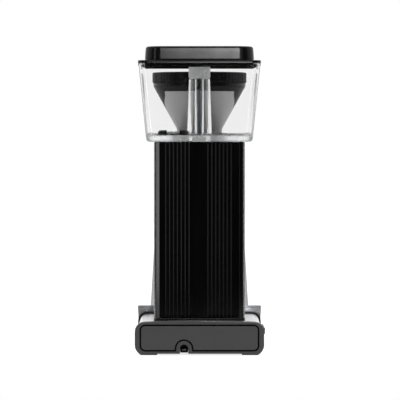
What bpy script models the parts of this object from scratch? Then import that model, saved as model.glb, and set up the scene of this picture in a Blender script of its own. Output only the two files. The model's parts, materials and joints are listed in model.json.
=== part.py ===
"""Counter-top filter coffee brewer with a thermal carafe.

Metres, +Z up, floor at Z = 0. The carafe side faces -Y and the cord side faces +Y.
Depths are counted forwards (towards -Y) from the outer face of the rear cover.
"""
import math

import bmesh
import bpy
from mathutils import Vector

MM = 0.001
GAP = 0.3 * MM                     # clearance between touching pieces

# --- driving dimensions -------------------------------------------------------
REAR_Y = 161.0 * MM                # outer face of the rear cover
BASE_HALF = 82.5 * MM              # half width of the rear cover and the front trim
BASE_LOW = 1.7 * MM                # underside of the covers between their feet
BASE_TOP = 42.2 * MM
CORNER = 12.1 * MM                 # top corner radius of the covers
COVER_DEPTH = 9.0 * MM
HOUSING_INSET = 3.0 * MM           # how far the covers stand proud of the housing
HOUSING_WALL = 1.6 * MM
TRIM_FRONT = 137.0 * MM            # depth of the front trim's outer face
TRIM_THICK = 4.0 * MM

CORD_X = 19.6 * MM                 # cord outlet in the rear cover
CORD_Z = 8.4 * MM
CORD_R = 5.3 * MM
GROOVE = 2.0 * MM                  # width of the grooves in the rear cover

FENCE_TOP = 50.5 * MM
FENCE_HALF = 82.9 * MM
FENCE_THICK = 2.0 * MM
PLATFORM_R = 82.0 * MM
PLATFORM_TOP = 37.0 * MM
PLATFORM_WALL = 2.0 * MM
MAT_TOP = 39.0 * MM

AXIS_DEPTH = 213.0 * MM            # common axis of the carafe and the basket
RISER_DEPTH = 66.0 * MM            # riser pipe, inside column and reservoir

COLUMN_HALF = 58.4 * MM
COLUMN_BACK = 30.0 * MM            # depth of the column shell's rear edges
COLUMN_FRONT = 100.0 * MM
COLUMN_WALL = 1.6 * MM
COLUMN_LOW = 44.6 * MM
COLUMN_TOP = 271.0 * MM
RIB_PITCH = 5.0 * MM
RIB_DEPTH = 0.5 * MM
RIB_FIELD = (9.6 * MM, 44.7 * MM)  # each ribbed field, from the centre line

TANK_LOW = 271.4 * MM
TANK_FLOOR = 279.4 * MM
TANK_TOP = 372.0 * MM
TANK_WALL = 2.5 * MM
CHANNEL_TOP = 353.1 * MM
INLET_X = 33.9 * MM
INLET_DEPTH = 52.0 * MM

LID_TOP = 394.3 * MM
ARM_Z = 380.0 * MM
ARM_R = 4.5 * MM

BASKET_R = 63.5 * MM
BASKET_LOW = 277.1 * MM
BASKET_FLOOR = 289.0 * MM          # where the basket's cone begins
CONE_TOP = 343.2 * MM
BASKET_RIM = 349.5 * MM
RING_TOP = 364.0 * MM
VALVE_R = 4.5 * MM
VALVE_LOW = 263.7 * MM

CARAFE_LOW = MAT_TOP + GAP
CARAFE_R = 67.5 * MM
CARAFE_FOOT = 2.2 * MM             # height of the rubber under the carafe
SHOULDER_R = 58.7 * MM
SHOULDER_Z = 190.0 * MM
NECK_Z = 214.0 * MM
CARAFE_TOP = 262.0 * MM

SWITCH_DEPTH = 32.0 * MM
SWITCH_Z = 28.5 * MM
BEZEL_FACE = -82.6 * MM            # outer face of the switch bezel
ROCKER_TILT = math.radians(8.0)


def y_at(depth):
    """World Y of a depth counted forwards from the rear cover's outer face."""
    return REAR_Y - depth


AXIS = Vector((0.0, y_at(AXIS_DEPTH), 0.0))
RISER = Vector((0.0, y_at(RISER_DEPTH), 0.0))
INLET = Vector((INLET_X, y_at(INLET_DEPTH), 0.0))


# --- helpers ------------------------------------------------------------------
def material(name, colour, roughness, metallic=0.0, alpha=1.0):
    mat = bpy.data.materials.new(name)
    mat.use_nodes = True
    shader = mat.node_tree.nodes["Principled BSDF"]
    shader.inputs["Base Color"].default_value = (*colour, 1.0)
    shader.inputs["Roughness"].default_value = roughness
    shader.inputs["Metallic"].default_value = metallic
    shader.inputs["Alpha"].default_value = alpha
    return mat


def add(name, bm, mat, origin=(0.0, 0.0, 0.0), smooth=35.0):
    """Make an object from a bmesh in world space, with its origin at a given point."""
    origin = Vector(origin)
    bmesh.ops.recalc_face_normals(bm, faces=bm.faces)
    bmesh.ops.translate(bm, verts=bm.verts, vec=-origin)
    mesh = bpy.data.meshes.new(name)
    bm.to_mesh(mesh)
    bm.free()
    if smooth:
        mesh.shade_smooth()
        mesh.set_sharp_from_angle(angle=math.radians(smooth))
    mesh.materials.append(mat)
    obj = bpy.data.objects.new(name, mesh)
    obj.location = origin
    bpy.context.scene.collection.objects.link(obj)
    return obj


def loft_mesh(rings):
    """Skin a list of rings of equal length and cap both ends."""
    bm = bmesh.new()
    loops = [[bm.verts.new(p) for p in ring] for ring in rings]
    count = len(loops[0])
    for low, high in zip(loops, loops[1:]):
        for i in range(count):
            j = (i + 1) % count
            bm.faces.new((low[i], low[j], high[j], high[i]))
    bm.faces.new(loops[0])
    bm.faces.new(loops[-1])
    return bm


def loft(name, rings, mat, **extra):
    return add(name, loft_mesh(rings), mat, **extra)


def prism(name, outline, low, high, mat, axis="Z", **extra):
    """Extrude a 2D outline along Z, or an (x, z) outline along Y."""
    if axis == "Z":
        rings = [[(x, y, h) for x, y in outline] for h in (low, high)]
    else:
        rings = [[(x, h, z) for x, z in outline] for h in (low, high)]
    return loft(name, rings, mat, **extra)


def box(name, low, high, mat, bevel=0.0, **extra):
    outline = [(low[0], low[1]), (high[0], low[1]), (high[0], high[1]), (low[0], high[1])]
    obj = prism(name, outline, low[2], high[2], mat, smooth=0.0, **extra)
    if bevel:
        edge = obj.modifiers.new("bevel", 'BEVEL')
        edge.width = bevel
        edge.segments = 2
    return obj


def lathe(name, profile, centre, mat, segments=32, origin=None, smooth=35.0):
    """Turn a closed (radius, z) profile about a vertical axis; radius 0 makes a pole."""
    bm = bmesh.new()
    rings = []
    for radius, z in profile:
        if radius < 1e-7:
            rings.append([bm.verts.new((centre[0], centre[1], z))])
            continue
        turn = [2.0 * math.pi * i / segments for i in range(segments)]
        rings.append([bm.verts.new((centre[0] + radius * math.cos(a),
                                    centre[1] + radius * math.sin(a), z)) for a in turn])
    pairs = list(zip(rings, rings[1:]))
    if len(rings[0]) > 1 and len(rings[-1]) > 1:
        pairs.append((rings[-1], rings[0]))
    for low, high in pairs:
        for i in range(segments):
            j = (i + 1) % segments
            if len(low) == 1:
                bm.faces.new((low[0], high[j], high[i]))
            elif len(high) == 1:
                bm.faces.new((low[i], low[j], high[0]))
            else:
                bm.faces.new((low[i], low[j], high[j], high[i]))
    start = origin if origin is not None else (0.0, 0.0, 0.0)
    return add(name, bm, mat, origin=start, smooth=smooth)


def rod(name, radius, low, high, centre, mat, segments=24, **extra):
    return lathe(name, [(0.0, low), (radius, low), (radius, high), (0.0, high)],
                 centre, mat, segments, **extra)


def sleeve(name, inner, outer, low, high, centre, mat, segments=24, **extra):
    return lathe(name, [(inner, low), (outer, low), (outer, high), (inner, high)],
                 centre, mat, segments, **extra)


def tube(name, points, radius, mat, sides=2):
    """Solid pipe along points, as a poly curve with a round bevel and closed ends."""
    curve = bpy.data.curves.new(name, 'CURVE')
    curve.dimensions = '3D'
    curve.bevel_depth = radius
    curve.bevel_resolution = sides
    curve.use_fill_caps = True
    spline = curve.splines.new('POLY')
    spline.points.add(len(points) - 1)
    for point, place in zip(spline.points, points):
        point.co = (*place, 1.0)
    curve.materials.append(mat)
    obj = bpy.data.objects.new(name, curve)
    bpy.context.scene.collection.objects.link(obj)
    return obj


def smooth_path(knots, steps):
    """Points on a Catmull-Rom curve through the knots."""
    knots = [Vector(k) for k in knots]
    ends = [knots[0] * 2 - knots[1]] + knots + [knots[-1] * 2 - knots[-2]]
    points = []
    for a, b, c, d in zip(ends, ends[1:], ends[2:], ends[3:]):
        for i in range(steps):
            t = i / steps
            points.append(0.5 * ((2 * b) + (c - a) * t + (2 * a - 5 * b + 4 * c - d) * t * t
                                 + (3 * b - a - 3 * c + d) * t ** 3))
    points.append(knots[-1])
    return points


def boolean(target, tool, operation='DIFFERENCE'):
    step = target.modifiers.new(operation.lower(), 'BOOLEAN')
    step.operation = operation
    step.solver = 'EXACT'
    step.object = tool
    tool.hide_render = True
    tool.display_type = 'WIRE'


def rounded_rect(half_x, y_low, y_high, radius, steps=4):
    """Outline of a rounded rectangle in plan, symmetric about X = 0."""
    corners = [(half_x - radius, y_low + radius, -90), (half_x - radius, y_high - radius, 0),
               (radius - half_x, y_high - radius, 90), (radius - half_x, y_low + radius, 180)]
    points = []
    for cx, cy, start in corners:
        for i in range(steps + 1):
            a = math.radians(start + 90.0 * i / steps)
            points.append((cx + radius * math.cos(a), cy + radius * math.sin(a)))
    return points


def plan_ring(half_x, back, front, radius, z, steps=4):
    """Rounded rectangle between two depths, at height z."""
    return [(x, y, z) for x, y in rounded_rect(half_x, y_at(front), y_at(back), radius, steps)]


def mirror_outline(half):
    """Complete an outline from its +X half, listed from bottom centre to top centre."""
    return half + [(-x, z) for x, z in reversed(half) if x > 1e-7]


def arc(cx, cz, radius, start, stop, steps):
    return [(cx + radius * math.cos(math.radians(start + (stop - start) * i / steps)),
             cz + radius * math.sin(math.radians(start + (stop - start) * i / steps)))
            for i in range(steps + 1)]


def bend(start, control, stop, steps):
    """Quadratic curve from start to stop."""
    times = [i / steps for i in range(steps + 1)]
    return [tuple((1 - t) ** 2 * a + 2 * t * (1 - t) * b + t * t * c for a, b, c in zip(start, control, stop))
            for t in times]


def base_outline(inset=0.0, feet=False, crown=0.0):
    """Cross-section of the base: round top corners, drawn-in lower corners."""
    half, low, top, radius = BASE_HALF - inset, BASE_LOW + inset, BASE_TOP - inset, CORNER - inset
    points = [(0.0, low)]
    if feet:
        points += [(53.5 * MM, low), (54.5 * MM, 0.0)]
        low = 0.0
    drawn_in, turn = 8.0 * MM, 13.0 * MM
    points += bend((half - drawn_in, low), (half, low + 0.4 * turn), (half, low + turn), 5)
    points += arc(half - radius, top - radius, radius, 0, 90, 5)
    span = half - radius
    if crown:
        for i in range(1, 6):
            x = span * (1 - i / 5)
            points.append((x, top + crown * (1 - (x / span) ** 2)))
    else:
        points.append((0.0, top))
    return mirror_outline(points)


# --- base ---------------------------------------------------------------------
def build_rear_cover(mats):
    plastic = mats["cover"]
    cover = prism("rear_cover", base_outline(feet=True, crown=2.0 * MM),
                  y_at(COVER_DEPTH), y_at(0), plastic, "Y")
    edge = cover.modifiers.new("bevel", 'BEVEL')
    edge.width = 0.8 * MM
    edge.segments = 2
    edge.limit_method = 'ANGLE'
    edge.angle_limit = math.radians(60)

    def panel_outline(grow):
        half, low, high, radius = 74.3 * MM + grow, 6.7 * MM - grow, 37.2 * MM + grow, 5.0 * MM + grow
        corners = [(half - radius, low + radius, -90, 0), (half - radius, high - radius, 0, 90)]
        points = [(0.0, low)]
        for cx, cz, start, stop in corners:
            points += arc(cx, cz, radius, start, stop, 4)
        points.append((0.0, high))
        return mirror_outline(points)

    # An arch about the cord outlet, whose legs run down to the panel's lower edge.
    wide, leg = 12.0 * MM, 4.9 * MM
    arch = [(CORD_X + wide, leg)] + arc(CORD_X, CORD_Z, wide, 0, 180, 8) + [(CORD_X - wide, leg)]
    wide -= GROOVE
    arch += [(CORD_X - wide, leg)] + arc(CORD_X, CORD_Z, wide, 180, 0, 8) + [(CORD_X + wide, leg)]
    # The groove is the space between a larger and a smaller outline, and stops at the arch.
    groove = prism("groove_cutter", panel_outline(GROOVE), y_at(4 * MM), y_at(-2 * MM), plastic, "Y")
    boolean(groove, prism("panel_island", panel_outline(0.0), y_at(6 * MM), y_at(-4 * MM), plastic, "Y"))
    collar = wide + 0.5 * GROOVE
    boolean(groove, box("collar_island", (CORD_X - collar, y_at(6 * MM), 0.0),
                        (CORD_X + collar, y_at(-4 * MM), CORD_Z), plastic))
    boolean(cover, groove)
    # An arched groove about the cord outlet, and the outlet itself, open downwards.
    boolean(cover, prism("arch_groove_cutter", arch, y_at(3.6 * MM), y_at(-2 * MM), plastic, "Y"))
    hole = arc(CORD_X, CORD_Z, CORD_R, 0, 180, 10) + [(CORD_X - CORD_R, -3 * MM), (CORD_X + CORD_R, -3 * MM)]
    boolean(cover, prism("outlet_cutter", hole, y_at(COVER_DEPTH + 5 * MM), y_at(-5 * MM), plastic, "Y"))


def build_cord_gland(mats):
    """Rubber bushing in the cord outlet, with a bore for the cord."""
    outer, bore, low = CORD_R - GAP, 3.3 * MM, 3.2 * MM
    shape = arc(CORD_X, CORD_Z, outer, 0, 180, 10) + [(CORD_X - outer, low), (CORD_X + outer, low)]
    gland = prism("cord_gland", shape, y_at(COVER_DEPTH), y_at(1.2 * MM), mats["rubber"], "Y")
    hole = arc(CORD_X, CORD_Z, bore, 0, 337.5, 15)
    boolean(gland, prism("gland_cutter", hole, y_at(30 * MM), y_at(-5 * MM), mats["rubber"], "Y"))


def build_housing(mats):
    """Extruded metal housing, open at both ends, with an opening under the column."""
    steel = mats["housing"]
    start, stop = y_at(COVER_DEPTH + GAP), y_at(TRIM_FRONT - TRIM_THICK - GAP)
    housing = prism("base_housing", base_outline(HOUSING_INSET), stop, start, steel, "Y")
    inner = prism("housing_cutter", base_outline(HOUSING_INSET + HOUSING_WALL),
                  stop - 10 * MM, start + 10 * MM, steel, "Y")
    boolean(housing, inner)
    well = box("well_cutter", (-45 * MM, y_at(90 * MM), 30 * MM), (45 * MM, y_at(40 * MM), 60 * MM), steel)
    boolean(housing, well)
    window = box("window_cutter", (-100 * MM, y_at(SWITCH_DEPTH + 9.8 * MM), SWITCH_Z - 5.8 * MM),
                 (-70 * MM, y_at(SWITCH_DEPTH - 9.8 * MM), SWITCH_Z + 5.8 * MM), steel)
    boolean(housing, window)


def build_front_trim(mats):
    trim = prism("front_trim", base_outline(), y_at(TRIM_FRONT), y_at(TRIM_FRONT - TRIM_THICK),
                 mats["trim"], "Y")
    edge = trim.modifiers.new("bevel", 'BEVEL')
    edge.width = 0.6 * MM
    edge.segments = 2
    edge.limit_method = 'ANGLE'
    edge.angle_limit = math.radians(60)


def build_fence(mats):
    """Upright sheet behind the carafe, folded forwards over the platform."""
    steel = mats["fence"]
    low, taper, radius = 16 * MM, 1.6 * MM, 1.5 * MM
    half = [(0.0, low), (FENCE_HALF - taper, low)]
    half += arc(FENCE_HALF - radius, FENCE_TOP - radius, radius, 0, 90, 3) + [(0.0, FENCE_TOP)]
    back = TRIM_FRONT + GAP
    fence = prism("carafe_fence", mirror_outline(half), y_at(back + FENCE_THICK), y_at(back), steel, "Y")
    fold = box("fence_fold", (-70 * MM, y_at(145.5 * MM), PLATFORM_TOP + GAP),
               (70 * MM, y_at(back + 0.5 * FENCE_THICK), PLATFORM_TOP + GAP + 1.2 * MM), steel)
    boolean(fence, fold, 'UNION')


def platform_outline(inset, steps=20):
    """Straight at the back, half round at the front about the carafe's axis."""
    radius = PLATFORM_R - inset
    back = y_at(TRIM_FRONT + 2 * GAP + FENCE_THICK + inset)
    points = [(-radius, back)]
    points += [(AXIS.x - radius * math.cos(math.pi * i / steps),
                AXIS.y - radius * math.sin(math.pi * i / steps)) for i in range(steps + 1)]
    return points + [(radius, back)]


def build_platform(mats):
    silver = mats["housing"]
    body = prism("platform_body", platform_outline(0.0), 2.2 * MM, PLATFORM_TOP, silver)
    edge = body.modifiers.new("bevel", 'BEVEL')
    edge.width = 1.2 * MM
    edge.segments = 2
    edge.limit_method = 'ANGLE'
    edge.angle_limit = math.radians(60)
    hollow = prism("platform_cutter", platform_outline(PLATFORM_WALL), -5 * MM,
                   PLATFORM_TOP - PLATFORM_WALL, silver)
    boolean(body, hollow)
    prism("platform_plate", platform_outline(PLATFORM_WALL + GAP), 2.5 * MM, 4.3 * MM, mats["plate"])
    lathe("platform_mat", [(0, PLATFORM_TOP + GAP), (66.5 * MM, PLATFORM_TOP + GAP),
                           (66.5 * MM, MAT_TOP - 0.6 * MM), (65.9 * MM, MAT_TOP), (0, MAT_TOP)],
          AXIS, mats["rubber"], 40)
    for side, x in (("left", 48 * MM), ("right", -48 * MM)):
        foot = [(0, 0), (8 * MM, 0), (9 * MM, 1 * MM), (9 * MM, 2.2 * MM), (0, 2.2 * MM)]
        lathe("rubber_foot_" + side, foot, (x, y_at(262 * MM)), mats["rubber"], 20)


def build_switch(mats):
    """Rocker switch in the housing's side wall, pivoting about a vertical pin line."""
    wall = -(BASE_HALF - HOUSING_INSET)
    low_y, high_y = y_at(SWITCH_DEPTH + 11.5 * MM), y_at(SWITCH_DEPTH - 11.5 * MM)
    bezel = box("switch_bezel", (BEZEL_FACE, low_y, SWITCH_Z - 7 * MM),
                (wall - GAP, high_y, SWITCH_Z + 7 * MM), mats["switch"])
    body = box("bezel_body", (BEZEL_FACE + 0.6 * MM, low_y + 2.1 * MM, SWITCH_Z - 5.4 * MM),
               (BEZEL_FACE + 12.4 * MM, high_y - 2.1 * MM, SWITCH_Z + 5.4 * MM), mats["switch"])
    boolean(bezel, body, 'UNION')
    pocket = box("pocket_cutter", (BEZEL_FACE - 4 * MM, low_y + 3.1 * MM, SWITCH_Z - 4.6 * MM),
                 (BEZEL_FACE + 9.9 * MM, high_y - 3.1 * MM, SWITCH_Z + 4.6 * MM), mats["switch"])
    boolean(bezel, pocket)
    pivot = Vector((BEZEL_FACE + 3.9 * MM, y_at(SWITCH_DEPTH), SWITCH_Z))
    # Rocker section in plan: a shallow V on the outside, round about the pivot inside.
    half_long, proud = 7.6 * MM, 4.8 * MM
    section = [(-proud, -half_long), (-proud + 0.9 * MM, 0.0), (-proud, half_long),
               (1.0 * MM, half_long * 0.82), (3.6 * MM, 2.5 * MM), (3.6 * MM, -2.5 * MM),
               (1.0 * MM, -half_long * 0.82)]
    turn = ROCKER_TILT
    outline = [(pivot.x + x * math.cos(turn) - y * math.sin(turn),
                pivot.y + x * math.sin(turn) + y * math.cos(turn)) for x, y in section]
    rocker = prism("switch_rocker", outline, SWITCH_Z - 4.2 * MM, SWITCH_Z + 4.2 * MM, mats["switch"],
                   origin=pivot, smooth=0.0)
    edge = rocker.modifiers.new("bevel", 'BEVEL')
    edge.width = 0.4 * MM


def build_heater(mats):
    """Boiler pipe with its element, thermostat, fuse and hoses, inside base and column."""
    boiler_z, radius = 21.6 * MM, 6.0 * MM
    left, right = INLET_X, -INLET_X
    near, far = y_at(70 * MM), y_at(114 * MM)
    path = [(right, near, boiler_z)]
    path += [(x, far + 0.35 * y, boiler_z) for x, y in arc(0.0, 0.0, INLET_X, 180, 360, 10)]
    path.append((left, near, boiler_z))
    tube("boiler_tube", path, radius, mats["copper"])
    element_z = boiler_z - radius - 4 * MM - 2 * GAP
    tube("heating_element", [(x, y, element_z) for x, y, z in path], 4.0 * MM, mats["steel"])
    top = boiler_z + radius + GAP
    box("thermostat", (-8 * MM, y_at(127 * MM), top), (8 * MM, y_at(111 * MM), top + 9 * MM),
        mats["ceramic"], bevel=0.8 * MM)
    fuse_y, fuse_z = y_at(80 * MM), top + 3.5 * MM
    tube("thermal_fuse", [(-16 * MM, fuse_y, fuse_z), (-42 * MM, fuse_y, fuse_z)], 2.6 * MM, mats["steel"])
    box("terminal_block", (46 * MM, y_at(44 * MM), 9 * MM), (66 * MM, y_at(18 * MM), 24 * MM),
        mats["ceramic"], bevel=0.8 * MM)
    hose_r, joint_y, joint_z = 5.0 * MM, near + radius + GAP, boiler_z + 2 * MM
    cold = [(INLET.x, INLET.y, 262 * MM), (INLET.x, INLET.y, 200 * MM), (INLET.x - 2 * MM, INLET.y, 120 * MM),
            (INLET.x, INLET.y, 50 * MM), (INLET.x, INLET.y - 1 * MM, 34 * MM), (INLET.x, joint_y, joint_z)]
    tube("cold_hose", smooth_path(cold, 4), hose_r, mats["silicone"], 1)
    hot = [(right, joint_y, joint_z), (right, RISER.y, 34 * MM), (right + 3 * MM, RISER.y, 70 * MM),
           (-12 * MM, RISER.y, 170 * MM), (0, RISER.y, 236 * MM), (0, RISER.y, 258 * MM)]
    tube("riser_hose", smooth_path(hot, 4), hose_r, mats["silicone"], 1)
    wire_y, wire_z = y_at(30 * MM), 9.5 * MM
    wire = [(-66 * MM, y_at(SWITCH_DEPTH), SWITCH_Z), (-56 * MM, y_at(36 * MM), 20 * MM),
            (-30 * MM, wire_y, wire_z), (15 * MM, wire_y, wire_z), (45 * MM, wire_y, 14 * MM)]
    tube("switch_wire", smooth_path(wire, 4), 1.6 * MM, mats["rubber"], 1)


# --- column -------------------------------------------------------------------
def build_column(mats):
    foot = prism("column_foot", rounded_rect(58.9 * MM, y_at(102 * MM), y_at(28 * MM), 6 * MM, 3),
                 BASE_TOP - HOUSING_INSET + GAP + 0.1 * MM, COLUMN_LOW - GAP, mats["foot"])
    boolean(foot, box("foot_cutter", (-45 * MM, y_at(90 * MM), 30 * MM), (45 * MM, y_at(40 * MM), 60 * MM),
                      mats["foot"]))
    # U-shaped shell, open at the back.
    front, back, radius = y_at(COLUMN_FRONT), y_at(COLUMN_BACK), 14 * MM

    def wall(inset):
        r = radius - inset
        points = [(COLUMN_HALF - inset, back)]
        points += [(COLUMN_HALF - radius + r * math.cos(a), front + radius + r * math.sin(a))
                   for a in [-math.pi / 2 * i / 6 for i in range(7)]]
        return points + [(-x, y) for x, y in reversed(points)]

    outline = wall(0.0) + list(reversed(wall(COLUMN_WALL)))
    prism("column_shell", outline, COLUMN_LOW, COLUMN_TOP, mats["column"])
    # Rear cover of the column: round vertical edges and two fields of fine ribs.
    half, face, edge = COLUMN_HALF - COLUMN_WALL - GAP, y_at(29.4 * MM), 4.0 * MM
    ribs = []
    count = int((RIB_FIELD[1] - RIB_FIELD[0]) / RIB_PITCH)
    for i in range(count):
        x = RIB_FIELD[0] + RIB_PITCH * (i + 0.5)
        ribs += [(x - 0.42 * RIB_PITCH, face - RIB_DEPTH), (x - 0.14 * RIB_PITCH, face),
                 (x + 0.14 * RIB_PITCH, face), (x + 0.42 * RIB_PITCH, face - RIB_DEPTH)]
    start = RIB_FIELD[0]
    right = [(0, face), (start, face)] + ribs + [(RIB_FIELD[1] + 0.5 * MM, face)]
    right += arc(half - edge, face - edge, edge, 90, 0, 4)
    right += [(half, y_at(36 * MM)), (half - 2.5 * MM, y_at(36 * MM)), (half - 2.5 * MM, face - 4.5 * MM),
              (half - 6 * MM, face - 3.2 * MM), (0, face - 3.2 * MM)]
    left = [(-x, y) for x, y in reversed(right[1:-1])]
    prism("column_back", right + left, COLUMN_LOW, COLUMN_TOP, mats["back"], smooth=30.0)
    cap = prism("column_cap", rounded_rect(half - 3 * MM, y_at(97.5 * MM), y_at(37 * MM), 10 * MM, 3),
                262.6 * MM, COLUMN_TOP - 0.4 * MM, mats["plate"])
    boolean(cap, rod("cap_riser_cutter", 7.2 * MM, 250 * MM, 280 * MM, RISER, mats["plate"], 16))
    boolean(cap, rod("cap_inlet_cutter", 5.6 * MM, 250 * MM, 280 * MM, INLET, mats["plate"], 16))
    # Fork that carries the brew basket, on a leg in front of the column.
    leg_back, leg_front, top = 100.5 * MM, 103.5 * MM, BASKET_LOW - GAP
    holder_half, slot_half = 34 * MM, 16 * MM
    holder = box("basket_holder", (-holder_half, y_at(leg_front), 232 * MM),
                 (holder_half, y_at(leg_back), top), mats["bracket"])
    plate = box("holder_plate", (-holder_half, y_at(230 * MM), top - 3 * MM),
                (holder_half, y_at(leg_back + 1 * MM), top), mats["bracket"])
    boolean(holder, plate, 'UNION')
    slot = box("slot_cutter", (-slot_half, y_at(240 * MM), 260 * MM), (slot_half, y_at(195 * MM), 290 * MM),
               mats["bracket"])
    boolean(holder, slot)
    for side, x in (("left", 22 * MM), ("right", -22 * MM)):
        knob = [(0, 0), (4.5 * MM, 0), (4.0 * MM, 1.6 * MM), (2.5 * MM, 2.4 * MM), (0, 2.4 * MM)]
        screw = lathe("holder_screw_" + side, knob, (0, 0), mats["steel"], 16)
        screw.rotation_euler = (math.pi / 2, 0, 0)
        screw.location = (x, y_at(leg_front + GAP), 250 * MM)


# --- reservoir ----------------------------------------------------------------
def build_tank(mats):
    clear = mats["clear"]
    low, wall = 3.6 * MM, TANK_WALL
    rings = [plan_ring(65.6 * MM, 30 * MM, 96 * MM, 10 * MM, TANK_LOW),
             plan_ring(68.0 * MM, 28.4 * MM, 97.6 * MM, 11 * MM, TANK_LOW + 1.2 * MM),
             plan_ring(68.7 * MM, 28 * MM, 98 * MM, 12 * MM, TANK_LOW + low),
             plan_ring(78.9 * MM, 22 * MM, 130 * MM, 12 * MM, TANK_TOP),
             plan_ring(78.9 * MM - wall, 22 * MM + wall, 130 * MM - wall, 9.5 * MM, TANK_TOP),
             plan_ring(69.1 * MM - wall, 28 * MM + wall, 99 * MM - wall, 9.5 * MM, TANK_FLOOR)]
    tank = loft("tank", rings, clear)
    # Tapered channel that leads the riser pipe dry through the water.
    channel = lathe("channel_body", [(0, TANK_FLOOR - 4 * MM), (16.4 * MM, TANK_FLOOR - 4 * MM),
                                     (13.9 * MM, CHANNEL_TOP), (0, CHANNEL_TOP)], RISER, clear, 24)
    boolean(tank, channel, 'UNION')
    below, above = TANK_LOW - 5 * MM, CHANNEL_TOP + 5 * MM
    bore = lathe("channel_cutter", [(0, below), (14.3 * MM, below), (11.9 * MM, above), (0, above)],
                 RISER, clear, 24)
    boolean(tank, bore)
    boolean(tank, rod("inlet_cutter", 4.0 * MM, 260 * MM, 300 * MM, INLET, clear, 16))
    sleeve("tank_gasket", 6.3 * MM, 13.6 * MM, 272 * MM, 278 * MM, RISER, mats["silicone"])
    sleeve("riser_tube", 4.5 * MM, 6.0 * MM, 258.3 * MM, 369 * MM, RISER, mats["pipe"])
    nut = [(6.3 * MM, 353.4 * MM), (13.2 * MM, 353.4 * MM), (14.0 * MM, 354.4 * MM), (14.0 * MM, 370.7 * MM),
           (13.2 * MM, 371.7 * MM), (6.3 * MM, 371.7 * MM)]
    lathe("riser_nut", nut, RISER, mats["nut"], 24)
    seat_r, seat_low, seat_top = 20 * MM, TANK_FLOOR + GAP, 286.2 * MM
    seat = [(12 * MM, seat_low), (seat_r, seat_low), (seat_r, seat_top - 2 * MM), (seat_r - 2 * MM, seat_top),
            (13.5 * MM, seat_top), (12 * MM, seat_top - 1.5 * MM)]
    lathe("inlet_seat", seat, INLET, mats["nut"], 24)
    disc_r, disc_low, disc_top = 11 * MM, seat_low + GAP, 284.6 * MM
    disc = [(0, disc_low), (disc_r - 2 * MM, disc_low), (disc_r, disc_low + 1.6 * MM),
            (disc_r, disc_top - 1.2 * MM), (disc_r - 3 * MM, disc_top), (0, disc_top)]
    lathe("inlet_float", disc, INLET, mats["float"], 24)
    rise, drop = 11 * MM, 5.1 * MM
    route = [(RISER.y, 369.3 * MM)] + arc(RISER.y - rise, ARM_Z - rise, rise, 0, 90, 5)
    route += arc(AXIS.y + drop, ARM_Z - drop, drop, 90, 180, 4)
    low, head_r = RING_TOP + 0.9 * MM, 15 * MM
    route.append((AXIS.y, low + 3.7 * MM + GAP))
    tube("outlet_arm", [(0, y, z) for y, z in route], ARM_R, mats["arm"])
    head = [(0, low), (head_r - 1 * MM, low), (head_r, low + 0.8 * MM), (head_r, low + 2.2 * MM),
            (8 * MM, low + 3.7 * MM), (0, low + 3.7 * MM)]
    lathe("spray_head", head, AXIS, mats["arm"], 24)


def build_tank_lid(mats):
    """Hollow lid: block, brim on the rim and skirt inside it, notched for the outlet arm."""
    shape = [  # half width, rear depth, front depth, corner radius, height
        (67.7, 34.0, 121.0, 18.0, 394.3), (69.4, 32.3, 122.7, 20.0, 392.6), (70.7, 31.0, 124.0, 21.0, 378.2),
        (70.7, 31.0, 124.0, 21.0, 376.4), (78.4, 22.6, 129.6, 13.0, 376.0), (79.2, 21.8, 130.4, 13.0, 372.3),
        (74.8, 26.4, 125.8, 16.0, 372.3), (74.4, 26.8, 125.4, 16.0, 367.4), (72.4, 28.8, 123.4, 14.0, 367.4),
        (67.2, 34.0, 121.0, 18.0, 378.0), (66.4, 34.5, 120.5, 18.0, 391.8)]
    rings = [plan_ring(h * MM, b * MM, f * MM, r * MM, z * MM) for h, b, f, r, z in shape]
    lid = loft("tank_lid", rings, mats["gloss"])
    half, high = ARM_R + 2.2 * MM, ARM_Z + ARM_R + 2 * MM
    notch = box("notch_cutter", (-half, y_at(140 * MM), 360 * MM), (half, y_at(112 * MM), high),
                mats["gloss"])
    boolean(lid, notch)


# --- brew basket --------------------------------------------------------------
def basket_ring_points(z, mix, radius, half_x, half_y, count=32):
    """Ring between a circle (mix 0) and a long rounded rectangle (mix 1)."""
    points = []
    for i in range(count):
        a = 2 * math.pi * i / count
        c, s = math.cos(a), math.sin(a)
        slot = (half_x * math.copysign(math.sqrt(abs(c)), c), half_y * math.copysign(math.sqrt(abs(s)), s))
        points.append((AXIS.x + radius * c * (1 - mix) + slot[0] * mix,
                       AXIS.y + radius * s * (1 - mix) + slot[1] * mix, z))
    return points


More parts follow.
